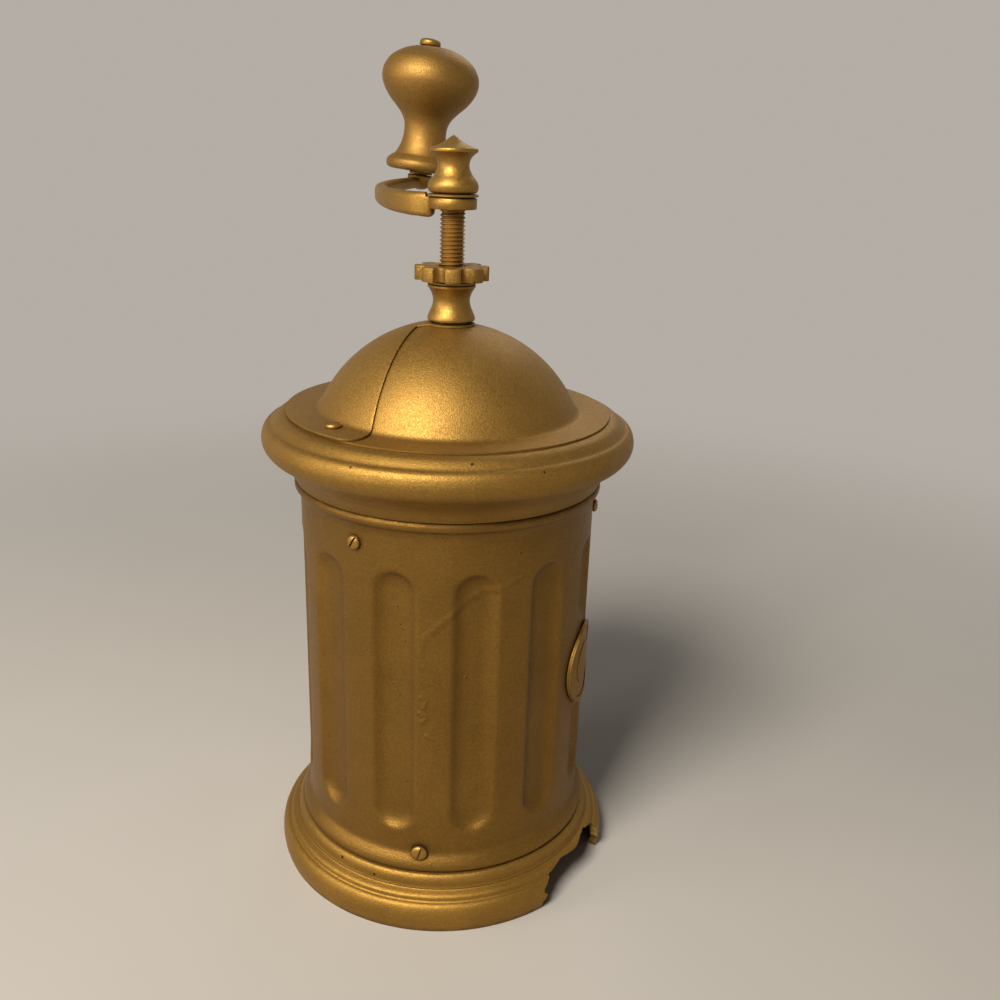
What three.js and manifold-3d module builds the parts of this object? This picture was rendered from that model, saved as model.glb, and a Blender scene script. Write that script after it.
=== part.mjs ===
// Manual coffee grinder: a fluted metal column with a domed hopper, a star nut and a bowed crank.
// Units are millimetres. +Z is up, the spindle runs along Z and the foot stands on Z = 0.
// Azimuths are degrees about the spindle: 0 points along -Y and 90 along +X.
import * as THREE from 'three';
import { mergeVertices } from 'three/addons/utils/BufferGeometryUtils.js';
import Module from 'manifold-3d';

const wasm = await Module();
wasm.setup();

// Clearances
const SEAT_GAP = 0.3;
const RUNNING_GAP = 0.3;
const HOLE_GAP = 0.3;
const SLIDE_GAP = 0.5;
// How far cutting shapes run past what they cut.
const OVERRUN = 1;

// Foot ring and base casting
const FOOT_HEIGHT = 12.6;
const FOOT_OUT = 10.5;
const FOOT_STAND_IN = 1;
const FOOT_WALL = 2.8;
const FOOT_SHELF_IN = 2.5;
const FOOT_TOP_OUT = 0.6;
const FOOT_SCREW_INSET = 3.6;
const FOOT_SCREW_LENGTH = 4.6;
const BREAK_LIP = 0.9;
const BREAK_START_INSET = 5.5;
const BASE_HEIGHT = 4.4;
const BASE_OUT = 7.7;
const BASE_TOP_OUT = 2.4;
const SPIGOT_HEIGHT = 12.7;
const SPIGOT_WALL = 3.7;
const BREAK_START = 39;
const BREAK_END = 73;
const FLOOR_THICKNESS = 1;
const FLOOR_MARGIN = 0.9;

// Column shell
const BODY_RADIUS = 49.5;
const BODY_WALL = 1;
const BODY_HEIGHT = 123;
const LOWER_BEAD_OUT = 2.5;
const LOWER_BEAD_HEIGHT = 11;
const UPPER_BEAD_OUT = 1.9;
const UPPER_BEAD_HEIGHT = 7;
const FLUTE_COUNT = 12;
const FLUTE_WIDTH = 15;
const FLUTE_DEPTH = 2.6;
const FLUTE_BOTTOM = 13.8;
const FLUTE_TOP_DROP = 16.7;
const FLUTE_PHASE = 15;
const MEDALLION_RADIUS = 14.5;
const MEDALLION_THICKNESS = 1;
const MEDALLION_AZIMUTH = 75;

// Drawer
const WINDOW_HALF_WIDTH = 27;
const WINDOW_BOTTOM = 15.7;
const WINDOW_HEIGHT = 33.4;
const TRAY_HALF_WIDTH = 26.2;
const TRAY_FRONT = -33;
const TRAY_WALL = 1;
const TRAY_HEADROOM = 2;
const RAIL_WALL = 1;
const RAIL_HEIGHT = 13;
const RAIL_SHELF = 7;
const DRAWER_KNOB_RADIUS = 5.5;
const DRAWER_KNOB_LENGTH = 11;
const DRAWER_STUD_RADIUS = 1.5;
const DRAWER_RIVET_OUT = 1.3;
const DRAWER_RIVET_HEIGHT = 1.2;

// Cornice in two rings
const CORNICE_OUT = 12.1;
const CORNICE_WALL = 1.6;
const CORNICE_LOWER_HEIGHT = 8.3;
const CORNICE_UPPER_HEIGHT = 11.7;
const CORNICE_TOP_OUT = 4.7;
const CORNICE_BORE_OUT = 0.5;

// Dome and sliding hatch
const SHEET = 0.7;
const DOME_IN = 3.4;
const DOME_SINK = 16.8;
const DOME_FILLET = 3.2;
const DOME_FLANGE_OUT = 2.9;
const DOME_RIM_WIDTH = 2.4;
const DOME_HOLE_RADIUS = 6;
const HATCH_FLANGE_OUT = 4;
const HATCH_EDGE_OFFSET = 9.1;
const HATCH_WEB_WIDTH = 10;
const HATCH_WEB_REACH = 2.5;
const HATCH_EDGE_AZIMUTH = -17.5;
const HATCH_MIDDLE_AZIMUTH = -97;
const HATCH_CORNER_RADIUS = 5;
const HATCH_OVERLAP = 4.5;
const HATCH_SCREW_IN = 2.9;
const HATCH_SCREW_AZIMUTH = -45.6;
const HATCH_NUT_RADIUS = 2.8;
const HATCH_NUT_HEIGHT = 2;

// Mill works
const HOPPER_RIM_DROP = 2;
const HOPPER_WALL = 1.5;
const SKIRT_DROP = 14.9;
const SKIRT_WALL = 3;
const UPPER_SCREW_RISE = 5.4;
const LEDGE_IN = 12.5;
const LEDGE_THICKNESS = 5;
const THROAT_RADIUS = 16.8;
const THROAT_DROP = 39.3;
const THROAT_FLARE = 1.2;
const THROAT_FLARE_HEIGHT = 2.4;
const FUNNEL_DROP = 3.9;
const FUNNEL_WALL = 2.2;
const BURR_RING_RADIUS = 21;
const BURR_RING_HEIGHT = 22.3;
const COLLAR_WALL = 4.7;
const CONE_BOTTOM_RADIUS = 16;
const CONE_TOP_RADIUS = 12;
const CONE_HEIGHT = 20;
const BREAKER_HEIGHT = 6.5;
const BREAKER_RADIUS = 9;
const BREAKER_TOOTH = 1.5;
const BURR_MOUTH_FLARE = 0.6;
const BURR_GAP = 0.9;
const TOOTH_DEPTH = 1.1;
const TOOTH_COUNT = 20;
const TOOTH_TWIST = 26;
const CONE_CLEARANCE = 1.8;
const BRIDGE_WIDTH = 10;
const BRIDGE_THICKNESS = 5;
const BRIDGE_HUB_RADIUS = 8;
const BRIDGE_HUB_HEIGHT = 8;
const STIRRUP_WIDTH = 12;
const STIRRUP_STRAP = 2.3;
const STIRRUP_AZIMUTH = 5;
const STIRRUP_HUB_RADIUS = 8.5;
const STIRRUP_HUB_HEIGHT = 19;
const STIRRUP_FOOT_IN = 4.5;
const STIRRUP_FOOT_GAP = 0.5;
const STIRRUP_DOME_GAP = 1.9;
const STIRRUP_CROWN_RISE = 5;
const STIRRUP_CROWN_SHARE = 0.9;
const STIRRUP_SHOULDER_DROP = 5;
const STIRRUP_BEND_RISE = 2.4;

// Spindle, neck and star nut
const SPINDLE_RADIUS = 4;
const SPINDLE_TAIL = 1.2;
const SPINDLE_CHAMFER = 0.8;
const SHOULDER_RADIUS = 6.5;
const SHOULDER_THICKNESS = 1.6;
const FLAT_DEPTH = 0.8;
const FLAT_BELOW_NECK = 8;
const FLAT_BELOW_CRANK = 3;
const SHAFT_JOINT = 2;
const CONE_NUT_FLATS = 11;
const CONE_NUT_HEIGHT = 4;
const NECK_HEIGHT = 11.1;
const NECK_BASE_RADIUS = 7.9;
const NECK_WAIST_RADIUS = 5.95;
const NECK_TOP_RADIUS = 8.3;
const NECK_SPIGOT_RADIUS = 5.6;
const NECK_SPIGOT_LENGTH = 10;
const THRUST_WASHER_THICKNESS = 0.9;
const STAR_THICKNESS = 4.4;
const STAR_RADIUS = 11.9;
const STAR_ROOT_RADIUS = 9;
const STAR_LOBES = 8;
const STAR_PHASE = 5;
const SPRING_LENGTH = 18;
const SPRING_RADIUS = 6.1;
const SPRING_WIRE = 1.2;
const SPRING_TURNS = 6;
const SPRING_WASHER_RADIUS = 8;
const SPRING_WASHER_THICKNESS = 1.2;
const SPRING_PIN_RADIUS = 1.2;
const SPRING_PIN_LENGTH = 14;

// Crank, finial and knob
const CRANK_RISE = 17.3;
const EYE_RADIUS = 7.5;
const EYE_THICKNESS = 3.4;
const EYE_SQUARE = 5.4;
const SQUARE_SINK = 0.2;
const ARM_HEIGHT = 8;
const ARM_THICKNESS = 4.5;
const ARM_DROP = 3.2;
const ARM_CLIMB = 2.2;
const CRANK_WASHER_RADIUS = 8;
const CRANK_WASHER_THICKNESS = 0.8;
const CRANK_WASHER_CLEAR = 0.7;
const STUD_RADIUS = 2.5;
const STUD_LENGTH = 9.5;
const FINIAL_HEIGHT = 16.9;
const FINIAL_BULGE = 7.9;
const FINIAL_WAIST = 4.5;
const FINIAL_BRIM = 7.6;
const KNOB_X = -17.9;
const KNOB_Y = 90;
const KNOB_LEAN = 6;
const KNOB_BOSS_MARGIN = 0.65;
const KNOB_BOSS_OUT = 0.9;
const KNOB_HEIGHT = 45;
const KNOB_BULB_RADIUS = 18.6;
const KNOB_NECK_RADIUS = 7.8;
const KNOB_FOOT_RADIUS = 13.9;
const PIN_RADIUS = 2.4;
const PIN_HEAD_RADIUS = 3.9;
const PIN_HEAD_HEIGHT = 3;
const PIN_RIVET_OUT = 1.2;
const PIN_RIVET_HEIGHT = 1.5;
const KNOB_WASHER_RADIUS = 5.1;
const KNOB_WASHER_THICKNESS = 0.8;

// Fasteners
const SCREW_HEAD_RADIUS = 2.3;
const SCREW_HEAD_HEIGHT = 1.7;
const SCREW_SHANK_RADIUS = 1.3;
const UPPER_SCREW_AZIMUTH = -31.4;
const LOWER_SCREW_AZIMUTH = -5.7;
const LOWER_SCREW_RISE = 4.9;
const WALL_SCREWS = 3;
const UPPER_SCREW_BITE = 0.6;
const LOWER_SCREW_BITE = 3;
const STIRRUP_SCREW_BITE = 3.4;
const BRIDGE_SCREW_BITE = 6.5;

// Facets round a full turn
const RING_SIDES = 36;
const MILL_SIDES = 28;
const SMALL_SIDES = 18;
const SCREW_SIDES = 8;
const PIN_SIDES = 16;
const NUT_SIDES = 6;

// Radii that follow the column
const footRadius = BODY_RADIUS + FOOT_OUT;
const footStandRadius = footRadius - FOOT_STAND_IN;
const footShelfInner = BODY_RADIUS - FOOT_SHELF_IN;
const baseRadius = BODY_RADIUS + BASE_OUT;
const baseTopRadius = BODY_RADIUS + BASE_TOP_OUT;
const corniceRadius = BODY_RADIUS + CORNICE_OUT;
const corniceTopRadius = BODY_RADIUS + CORNICE_TOP_OUT;
const corniceBore = BODY_RADIUS + CORNICE_BORE_OUT;
const domeRadius = BODY_RADIUS - DOME_IN;
const domeFlangeRadius = BODY_RADIUS + DOME_FLANGE_OUT;
const hatchFlangeRadius = BODY_RADIUS + HATCH_FLANGE_OUT;
const hatchScrewRadius = BODY_RADIUS - HATCH_SCREW_IN;
const ledgeInner = BODY_RADIUS - LEDGE_IN;
const stirrupFootOuter = BODY_RADIUS - STIRRUP_FOOT_IN;

// Heights of the stacked pieces
const baseBottom = FOOT_HEIGHT + SEAT_GAP;
const baseTop = baseBottom + BASE_HEIGHT;
const bodyBottom = baseTop + SEAT_GAP;
const bodyTop = bodyBottom + BODY_HEIGHT;
const corniceBottom = bodyTop + SEAT_GAP;
const corniceJoint = corniceBottom + CORNICE_LOWER_HEIGHT;
const corniceTop = corniceJoint + SEAT_GAP + CORNICE_UPPER_HEIGHT;
const flangeTop = corniceTop + SEAT_GAP + SHEET;
const domeCentre = flangeTop - DOME_SINK;
const hatchInner = domeRadius + SLIDE_GAP;
const hatchOuter = hatchInner + SHEET;
const spigotTop = baseTop + SPIGOT_HEIGHT;
const floorTop = spigotTop + SEAT_GAP + FLOOR_THICKNESS;
const neckBottom = domeCentre + Math.sqrt(hatchOuter ** 2 - DOME_HOLE_RADIUS ** 2) + SEAT_GAP;
const neckTop = neckBottom + NECK_HEIGHT;
const washerTop = neckTop + SEAT_GAP + THRUST_WASHER_THICKNESS;
const starTop = washerTop + SEAT_GAP + STAR_THICKNESS;
const eyeBottom = starTop + CRANK_RISE;
const eyeTop = eyeBottom + EYE_THICKNESS;
const crankWasherTop = eyeTop + SEAT_GAP + CRANK_WASHER_THICKNESS;
const finialBottom = crankWasherTop + SEAT_GAP;
const ledgeTop = bodyTop;
const throatTop = ledgeTop - THROAT_DROP;
const burrTop = throatTop - SEAT_GAP;
const burrBottom = burrTop - BURR_RING_HEIGHT;
const bridgeTop = burrBottom - SEAT_GAP;
const coneBottom = bridgeTop + CONE_CLEARANCE;
const coneTop = coneBottom + CONE_HEIGHT + BREAKER_HEIGHT;
const windowBottom = bodyBottom + WINDOW_BOTTOM;
const windowTop = windowBottom + WINDOW_HEIGHT;
const stirrupHubTop = domeCentre - SEAT_GAP
  + Math.sqrt((domeRadius - SHEET) ** 2 - STIRRUP_HUB_RADIUS ** 2);
const stirrupHubBottom = stirrupHubTop - STIRRUP_HUB_HEIGHT;
const boreRadius = SPINDLE_RADIUS + RUNNING_GAP;
const skirtOuter = BODY_RADIUS - BODY_WALL - SEAT_GAP;
const collarOuter = BURR_RING_RADIUS + SEAT_GAP + COLLAR_WALL;
const bossHeight = ARM_HEIGHT + 2 * KNOB_BOSS_MARGIN;
const footScrewRadius = footShelfInner + FOOT_SCREW_INSET;
const upperScrewHeight = ledgeTop - SKIRT_DROP + UPPER_SCREW_RISE;
const lowerScrewHeight = bodyBottom + LOWER_SCREW_RISE;
const stirrupFootInner = ledgeInner + STIRRUP_FOOT_GAP;
const stirrupScrewRadius = (stirrupFootInner + stirrupFootOuter - STIRRUP_STRAP) / 2;
const bridgeScrewRadius = collarOuter - COLLAR_WALL / 2;
const springTop = stirrupHubBottom - SEAT_GAP;
const springWasherTop = springTop - SPRING_LENGTH - SEAT_GAP;
const springPinHeight = springWasherTop - SPRING_WASHER_THICKNESS - SEAT_GAP - SPRING_PIN_RADIUS;
const drawerPanelInside = Math.sqrt((BODY_RADIUS - BODY_WALL) ** 2 - WINDOW_HALF_WIDTH ** 2);
const drawerMiddle = (windowBottom + windowTop) / 2;
const bossTop = eyeBottom - ARM_DROP + ARM_HEIGHT + ARM_CLIMB + KNOB_BOSS_MARGIN;

// Finishes: aged gold bronze paint outside, bare iron and steel inside
const gold = (shade = '#96722f') => new THREE.MeshStandardMaterial({
  color: shade, roughness: 0.42, metalness: 0.75,
});
const iron = () => new THREE.MeshStandardMaterial({ color: '#4a4642', roughness: 0.7, metalness: 0.6 });
const steel = () => new THREE.MeshStandardMaterial({ color: '#8b8a86', roughness: 0.4, metalness: 0.9 });
const tin = () => new THREE.MeshStandardMaterial({ color: '#a5a199', roughness: 0.45, metalness: 0.8 });
const paintedWood = () => new THREE.MeshStandardMaterial({
  color: '#8f6c2f', roughness: 0.5, metalness: 0.5,
});

// Small geometry tools
const rad = THREE.MathUtils.degToRad;
const at = (r, z) => new THREE.Vector2(r, z);

// A point at a radius, an azimuth and a height.
function polar(r, azimuth, z = 0) {
  return new THREE.Vector3(r * Math.sin(rad(azimuth)), -r * Math.cos(rad(azimuth)), z);
}

// The same point in plan only.
function inPlan(r, azimuth) {
  const p = polar(r, azimuth);
  return new THREE.Vector2(p.x, p.y);
}

// Points of an arc in the plane of a profile, from one angle to another.
function arc(centreR, centreZ, radius, from, to, steps) {
  const points = [];
  for (let i = 0; i <= steps; i += 1) {
    const angle = rad(from + ((to - from) * i) / steps);
    points.push(at(centreR + radius * Math.cos(angle), centreZ + radius * Math.sin(angle)));
  }
  return points;
}

// One closed skin: corners merged, empty triangles left out and faces turned outwards.
function closed(geometry) {
  const bare = geometry.index ? geometry.toNonIndexed() : geometry.clone();
  bare.deleteAttribute('normal');
  bare.deleteAttribute('uv');
  const merged = mergeVertices(bare, 1e-4);
  const place = merged.attributes.position;
  const corners = merged.index.array;
  const kept = [];
  const a = new THREE.Vector3();
  const b = new THREE.Vector3();
  const c = new THREE.Vector3();
  let volume = 0;
  for (let i = 0; i < corners.length; i += 3) {
    const [p, q, r] = [corners[i], corners[i + 1], corners[i + 2]];
    if (p !== q && q !== r && p !== r) {
      kept.push([p, q, r]);
      a.fromBufferAttribute(place, p);
      b.fromBufferAttribute(place, q);
      c.fromBufferAttribute(place, r);
      volume += a.dot(b.cross(c));
    }
  }
  merged.setIndex(kept.flatMap(([p, q, r]) => (volume < 0 ? [p, r, q] : [p, q, r])));
  merged.computeVertexNormals();
  return merged;
}

// A solid of revolution about Z from a closed outline of (radius, height) points.
function revolve(outline, sides) {
  const first = outline[0];
  const last = outline[outline.length - 1];
  const onAxis = first.x === 0 && last.x === 0;
  const loop = onAxis ? outline : [...outline, first.clone()];
  return closed(new THREE.LatheGeometry(loop, sides).rotateX(Math.PI / 2));
}

// A round bar or tube along Z.
function drum(radius, bottom, top, sides) {
  return revolve([at(0, bottom), at(radius, bottom), at(radius, top), at(0, top)], sides);
}
function tube(outer, inner, bottom, top, sides) {
  return revolve([at(inner, bottom), at(outer, bottom), at(outer, top), at(inner, top)], sides);
}

// An upright prism of a plan outline.
function prism(shape, bottom, top) {
  const depth = top - bottom;
  const body = new THREE.ExtrudeGeometry(shape, { depth, bevelEnabled: false, curveSegments: 6 });
  return closed(body.translate(0, 0, bottom));
}

// A box between two corners.
function block(low, high) {
  const size = high.map((value, i) => value - low[i]);
  const middle = high.map((value, i) => (value + low[i]) / 2);
  return closed(new THREE.BoxGeometry(...size).translate(...middle));
}

// Turns a piece drawn along +Z so that it points outwards at an azimuth, with its foot at a height.
function pointOut(geometry, azimuth, z, start = 0) {
  const turned = geometry.clone().translate(0, 0, start).rotateX(Math.PI / 2);
  return turned.rotateZ(rad(azimuth)).translate(0, 0, z);
}

// Booleans
function solid(geometry) {
  return new wasm.Manifold(new wasm.Mesh({
    numProp: 3,
    vertProperties: new Float32Array(geometry.attributes.position.array),
    triVerts: new Uint32Array(geometry.index.array),
  }));
}
function skin(body) {
  const mesh = body.getMesh();
  const geometry = new THREE.BufferGeometry();
  geometry.setAttribute('position', new THREE.BufferAttribute(mesh.vertProperties, 3));
  geometry.setIndex(new THREE.BufferAttribute(mesh.triVerts, 1));
  return closed(geometry);
}
function cut(piece, ...tools) {
  return skin(tools.reduce((body, tool) => body.subtract(solid(tool)), solid(piece)));
}
function join(piece, ...others) {
  return skin(others.reduce((body, other) => body.add(solid(other)), solid(piece)));
}
function common(piece, tool) {
  return skin(solid(piece).intersect(solid(tool)));
}

// A closed skin over rings of points that all hold the same number of points.
function ringStack(rings) {
  const count = rings[0].length;
  const corners = rings.flat().flatMap((point) => [point.x, point.y, point.z]);
  const faces = [];
  rings.forEach((ring, row) => {
    const next = (row + 1) % rings.length;
    for (let i = 0; i < count; i += 1) {
      const j = (i + 1) % count;
      faces.push(row * count + i, row * count + j, next * count + j);
      faces.push(row * count + i, next * count + j, next * count + i);
    }
  });
  const geometry = new THREE.BufferGeometry();
  geometry.setAttribute('position', new THREE.Float32BufferAttribute(corners, 3));
  geometry.setIndex(faces);
  return closed(geometry);
}

const grinder = new THREE.Group();
function add(name, geometry, material, parent = grinder) {
  const mesh = new THREE.Mesh(geometry, material);
  mesh.name = name;
  parent.add(mesh);
  return mesh;
}

// A round-headed screw drawn along +Z with the seat of its head at zero.
function roundScrew(shankLength) {
  const headRound = (SCREW_HEAD_RADIUS ** 2 + SCREW_HEAD_HEIGHT ** 2) / (2 * SCREW_HEAD_HEIGHT);
  const spread = THREE.MathUtils.radToDeg(Math.asin(SCREW_HEAD_RADIUS / headRound));
  const headArc = arc(0, SCREW_HEAD_HEIGHT - headRound, headRound, 90 - spread, 90, 2);
  headArc[headArc.length - 1].x = 0;
  return revolve([
    at(0, -shankLength),
    at(SCREW_SHANK_RADIUS, -shankLength),
    at(SCREW_SHANK_RADIUS, 0),
    ...headArc,
  ], SCREW_SIDES);
}

// A shape that cuts the clearance hole of a screw, and one at a plan place.
function screwHole(bottom, top) {
  return drum(SCREW_SHANK_RADIUS + HOLE_GAP, bottom, top, SCREW_SIDES);
}
function screwHoleAt(spot, bottom, top) {
  return screwHole(bottom, top).translate(spot.x, spot.y, 0);
}

// Azimuths of the three screws of a set.
function screwAzimuths(first) {
  return Array.from({ length: WALL_SCREWS }, (_, i) => first + (i * 360) / WALL_SCREWS);
}

// Foot ring: a hollow torus moulding whose rim is broken away at the right.
function footRing() {
  const bulgeRise = FOOT_HEIGHT * 0.5;
  const topRadius = baseRadius + FOOT_TOP_OUT;
  const shelf = FOOT_HEIGHT - FOOT_WALL;
  const outline = [
    at(footStandRadius - FOOT_WALL, 0),
    at(footStandRadius, 0),
    at(footRadius - 0.15, bulgeRise * 0.5),
    at(footRadius, bulgeRise),
    at(footRadius - 0.5, bulgeRise * 1.45),
    at(footRadius - 1.2, FOOT_HEIGHT - 1.3),
    at(topRadius, FOOT_HEIGHT),
    at(footShelfInner, FOOT_HEIGHT),
    at(footShelfInner, shelf),
    at(topRadius - FOOT_WALL, shelf),
    at(footRadius - FOOT_WALL, bulgeRise),
  ];
  // Ragged edge of the break, as (distance along the rim, height) from its middle.
  const middle = (BREAK_START + BREAK_END) / 2;
  const half = footRadius * Math.sin(rad((BREAK_END - BREAK_START) / 2));
  const lip = FOOT_HEIGHT - BREAK_LIP;
  const ragged = [
    [-half + 1.2, -1], [-half - 0.5, 2.6], [-half + 1.4, 5.1], [-half + 0.2, 7.6],
    [-half + 2.6, 9.4], [-half + 5.4, lip - 0.8], [-half * 0.35, lip], [half * 0.1, lip - 0.7],
    [half * 0.55, lip], [half - 2.2, lip - 1.3], [half - 0.6, 8.2], [half - 1.7, 5.4],
    [half + 0.4, 2.9], [half - 0.4, -1],
  ];
  const tear = new THREE.Shape(ragged.map(([along, z]) => new THREE.Vector2(along, z)));
  const reach = footRadius - footShelfInner;
  const tool = new THREE.ExtrudeGeometry(tear, { depth: reach, bevelEnabled: false });
  tool.rotateX(Math.PI / 2);
  tool.translate(0, -footShelfInner - BREAK_START_INSET, 0).rotateZ(rad(middle));
  const holes = screwAzimuths(LOWER_SCREW_AZIMUTH).map((azimuth) => (
    screwHoleAt(inPlan(footScrewRadius, azimuth), shelf - OVERRUN, FOOT_HEIGHT + OVERRUN)
  ));
  return cut(revolve(outline, RING_SIDES), closed(tool), ...holes);
}

// Base casting: the quarter-round moulding with the spigot that the column shell stands over.
function baseCasting() {
  const rise = BASE_HEIGHT;
  const spigotInner = skirtOuter - SPIGOT_WALL;
  const outline = [
    at(baseRadius - 0.2, baseBottom),
    at(baseRadius, baseBottom + rise * 0.25),
    at(baseRadius - 0.8, baseBottom + rise * 0.6),
    at(baseRadius - 2.5, baseBottom + rise * 0.86),
    at(baseTopRadius, baseTop),
    at(skirtOuter, baseTop),
    at(skirtOuter, spigotTop),
    at(spigotInner, spigotTop),
    at(spigotInner, baseBottom),
  ];
  const wallHole = screwHole(spigotInner - OVERRUN, skirtOuter + OVERRUN);
  const wallHoles = screwAzimuths(LOWER_SCREW_AZIMUTH).map((azimuth) => (
    pointOut(wallHole, azimuth, lowerScrewHeight)
  ));
  const footHoleTop = FOOT_HEIGHT - FOOT_WALL + FOOT_SCREW_LENGTH;
  const footHoles = screwAzimuths(LOWER_SCREW_AZIMUTH).map((azimuth) => (
    screwHoleAt(inPlan(footScrewRadius, azimuth), baseBottom - OVERRUN, footHoleTop)
  ));
  return cut(revolve(outline, RING_SIDES), ...wallHoles, ...footHoles);
}

// Depth of the pressed flutes at a distance round the column from a flute's middle.
function fluteDepth(across, z) {
  const half = FLUTE_WIDTH / 2;
  const low = bodyBottom + FLUTE_BOTTOM + half;
  const high = bodyTop - FLUTE_TOP_DROP - half;
  const beyond = Math.max(0, low - z, z - high);
  const share = Math.hypot(across, beyond) / half;
  return share < 1 ? FLUTE_DEPTH * (1 - share ** 2) : 0;
}

// Column shell: a tube with a rolled bead at each end and flutes pressed into its wall.
function columnShell() {
  const half = FLUTE_WIDTH / 2;
  const pitch = 360 / FLUTE_COUNT;
  const columns = [];
  for (let flute = 0; flute < FLUTE_COUNT; flute += 1) {
    const middle = FLUTE_PHASE + flute * pitch;
    [-1, -0.5, 0, 0.5, 1].forEach((share) => {
      columns.push({
        azimuth: middle + THREE.MathUtils.radToDeg((share * half) / BODY_RADIUS),
        across: share * half,
      });
    });
    columns.push({ azimuth: middle + pitch / 2, across: FLUTE_WIDTH });
  }
  const fluteLow = bodyBottom + FLUTE_BOTTOM;
  const fluteHigh = bodyTop - FLUTE_TOP_DROP;
  const fluteRows = [0, 0.35, 1].map((share) => fluteLow + share * half);
  const topRows = [1, 0.35, 0].map((share) => fluteHigh - share * half);
  const lowerBead = [[0, 0.75], [0.2, 1], [0.55, 0.55], [1, 0]];
  const upperBead = [[1, 0], [0.6, 0.72], [0.3, 1], [0, 0.8]];
  const outerRows = [
    ...lowerBead.map(([up, out]) => [bodyBottom + up * LOWER_BEAD_HEIGHT, out * LOWER_BEAD_OUT]),
    ...[...fluteRows, ...topRows].map((z) => [z, 0]),
    ...upperBead.map(([down, out]) => [bodyTop - down * UPPER_BEAD_HEIGHT, out * UPPER_BEAD_OUT]),
  ];
  const innerRows = [bodyBottom, ...fluteRows, ...topRows, bodyTop].reverse();
  const outer = outerRows.map(([z, out]) => columns.map(
    ({ azimuth, across }) => polar(BODY_RADIUS + out - fluteDepth(across, z), azimuth, z),
  ));
  const inner = innerRows.map((z) => columns.map(
    ({ azimuth, across }) => polar(BODY_RADIUS - BODY_WALL - fluteDepth(across, z), azimuth, z),
  ));
  return ringStack([...outer, ...inner]);
}

// Holes for the wall screws, through the shell at both ends.
function shellScrewHoles() {
  const start = BODY_RADIUS - BODY_WALL - FLUTE_DEPTH - OVERRUN;
  const hole = screwHole(start, BODY_RADIUS + LOWER_BEAD_OUT + OVERRUN);
  return [
    ...screwAzimuths(UPPER_SCREW_AZIMUTH).map((a) => pointOut(hole, a, upperScrewHeight)),
    ...screwAzimuths(LOWER_SCREW_AZIMUTH).map((a) => pointOut(hole, a, lowerScrewHeight)),
  ];
}

// Box through the back wall that the drawer passes, drawn in by a margin.
function windowBlock(margin) {
  const half = WINDOW_HALF_WIDTH - margin;
  const near = drawerPanelInside - FLUTE_DEPTH - OVERRUN;
  const far = BODY_RADIUS + OVERRUN;
  return block([-half, near, windowBottom + margin], [half, far, windowTop - margin]);
}

// Plain raised medallion that lies over one flute.
function medallion() {
  const inner = BODY_RADIUS + SEAT_GAP;
  const middle = (bodyBottom + FLUTE_BOTTOM + bodyTop - FLUTE_TOP_DROP) / 2;
  const low = middle - MEDALLION_RADIUS - OVERRUN;
  const high = middle + MEDALLION_RADIUS + OVERRUN;
  const outer = inner + MEDALLION_THICKNESS;
  const band = tube(outer, inner, low, high, FLUTE_COUNT * 6);
  const stamp = drum(MEDALLION_RADIUS, inner / 2, outer + OVERRUN, SMALL_SIDES);
  return common(band, pointOut(stamp, MEDALLION_AZIMUTH, middle));
}

// Cornice: lower ring, from the bead out to the joint line.
function corniceLower() {
  const rise = CORNICE_LOWER_HEIGHT;
  const foot = BODY_RADIUS + UPPER_BEAD_OUT;
  const joint = corniceRadius - 1.4;
  const span = joint - foot;
  const bore = skirtOuter + SEAT_GAP;
  return revolve([
    at(bore, corniceBottom),
    at(foot, corniceBottom),
    at(foot + span * 0.42, corniceBottom + rise * 0.2),
    at(foot + span * 0.82, corniceBottom + rise * 0.62),
    at(joint, corniceBottom + rise),
    at(joint - CORNICE_WALL, corniceBottom + rise),
    at(foot + span * 0.6, corniceBottom + rise * 0.66),
    at(foot + span * 0.2, corniceBottom + CORNICE_WALL),
    at(bore, corniceBottom + CORNICE_WALL),
  ], RING_SIDES);
}

// Cornice: upper ring with the torus, the shallow groove and the flat that carries the dome.
function corniceUpper() {
  const bottom = corniceJoint + SEAT_GAP;
  const joint = corniceRadius - 1.3;
  const rise = CORNICE_UPPER_HEIGHT;
  const groove = corniceTopRadius + 3.3;
  return revolve([
    at(joint, bottom),
    at(corniceRadius - 0.3, bottom + rise * 0.2),
    at(corniceRadius, bottom + rise * 0.42),
    at(corniceRadius - 0.5, bottom + rise * 0.62),
    at(corniceRadius - 2, bottom + rise * 0.78),
    at(groove, bottom + rise * 0.83),
    at(groove - 0.8, bottom + rise * 0.92),
    at(corniceTopRadius, bottom + rise),
    at(corniceBore, bottom + rise),
    at(corniceBore, bottom + rise - CORNICE_WALL),
    at(groove - 1.6, bottom + rise - CORNICE_WALL - 1),
    at(corniceRadius - CORNICE_WALL - 1.4, bottom + rise * 0.6),
    at(corniceRadius - CORNICE_WALL, bottom + rise * 0.3),
    at(joint - CORNICE_WALL, bottom),
  ], RING_SIDES);
}

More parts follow.
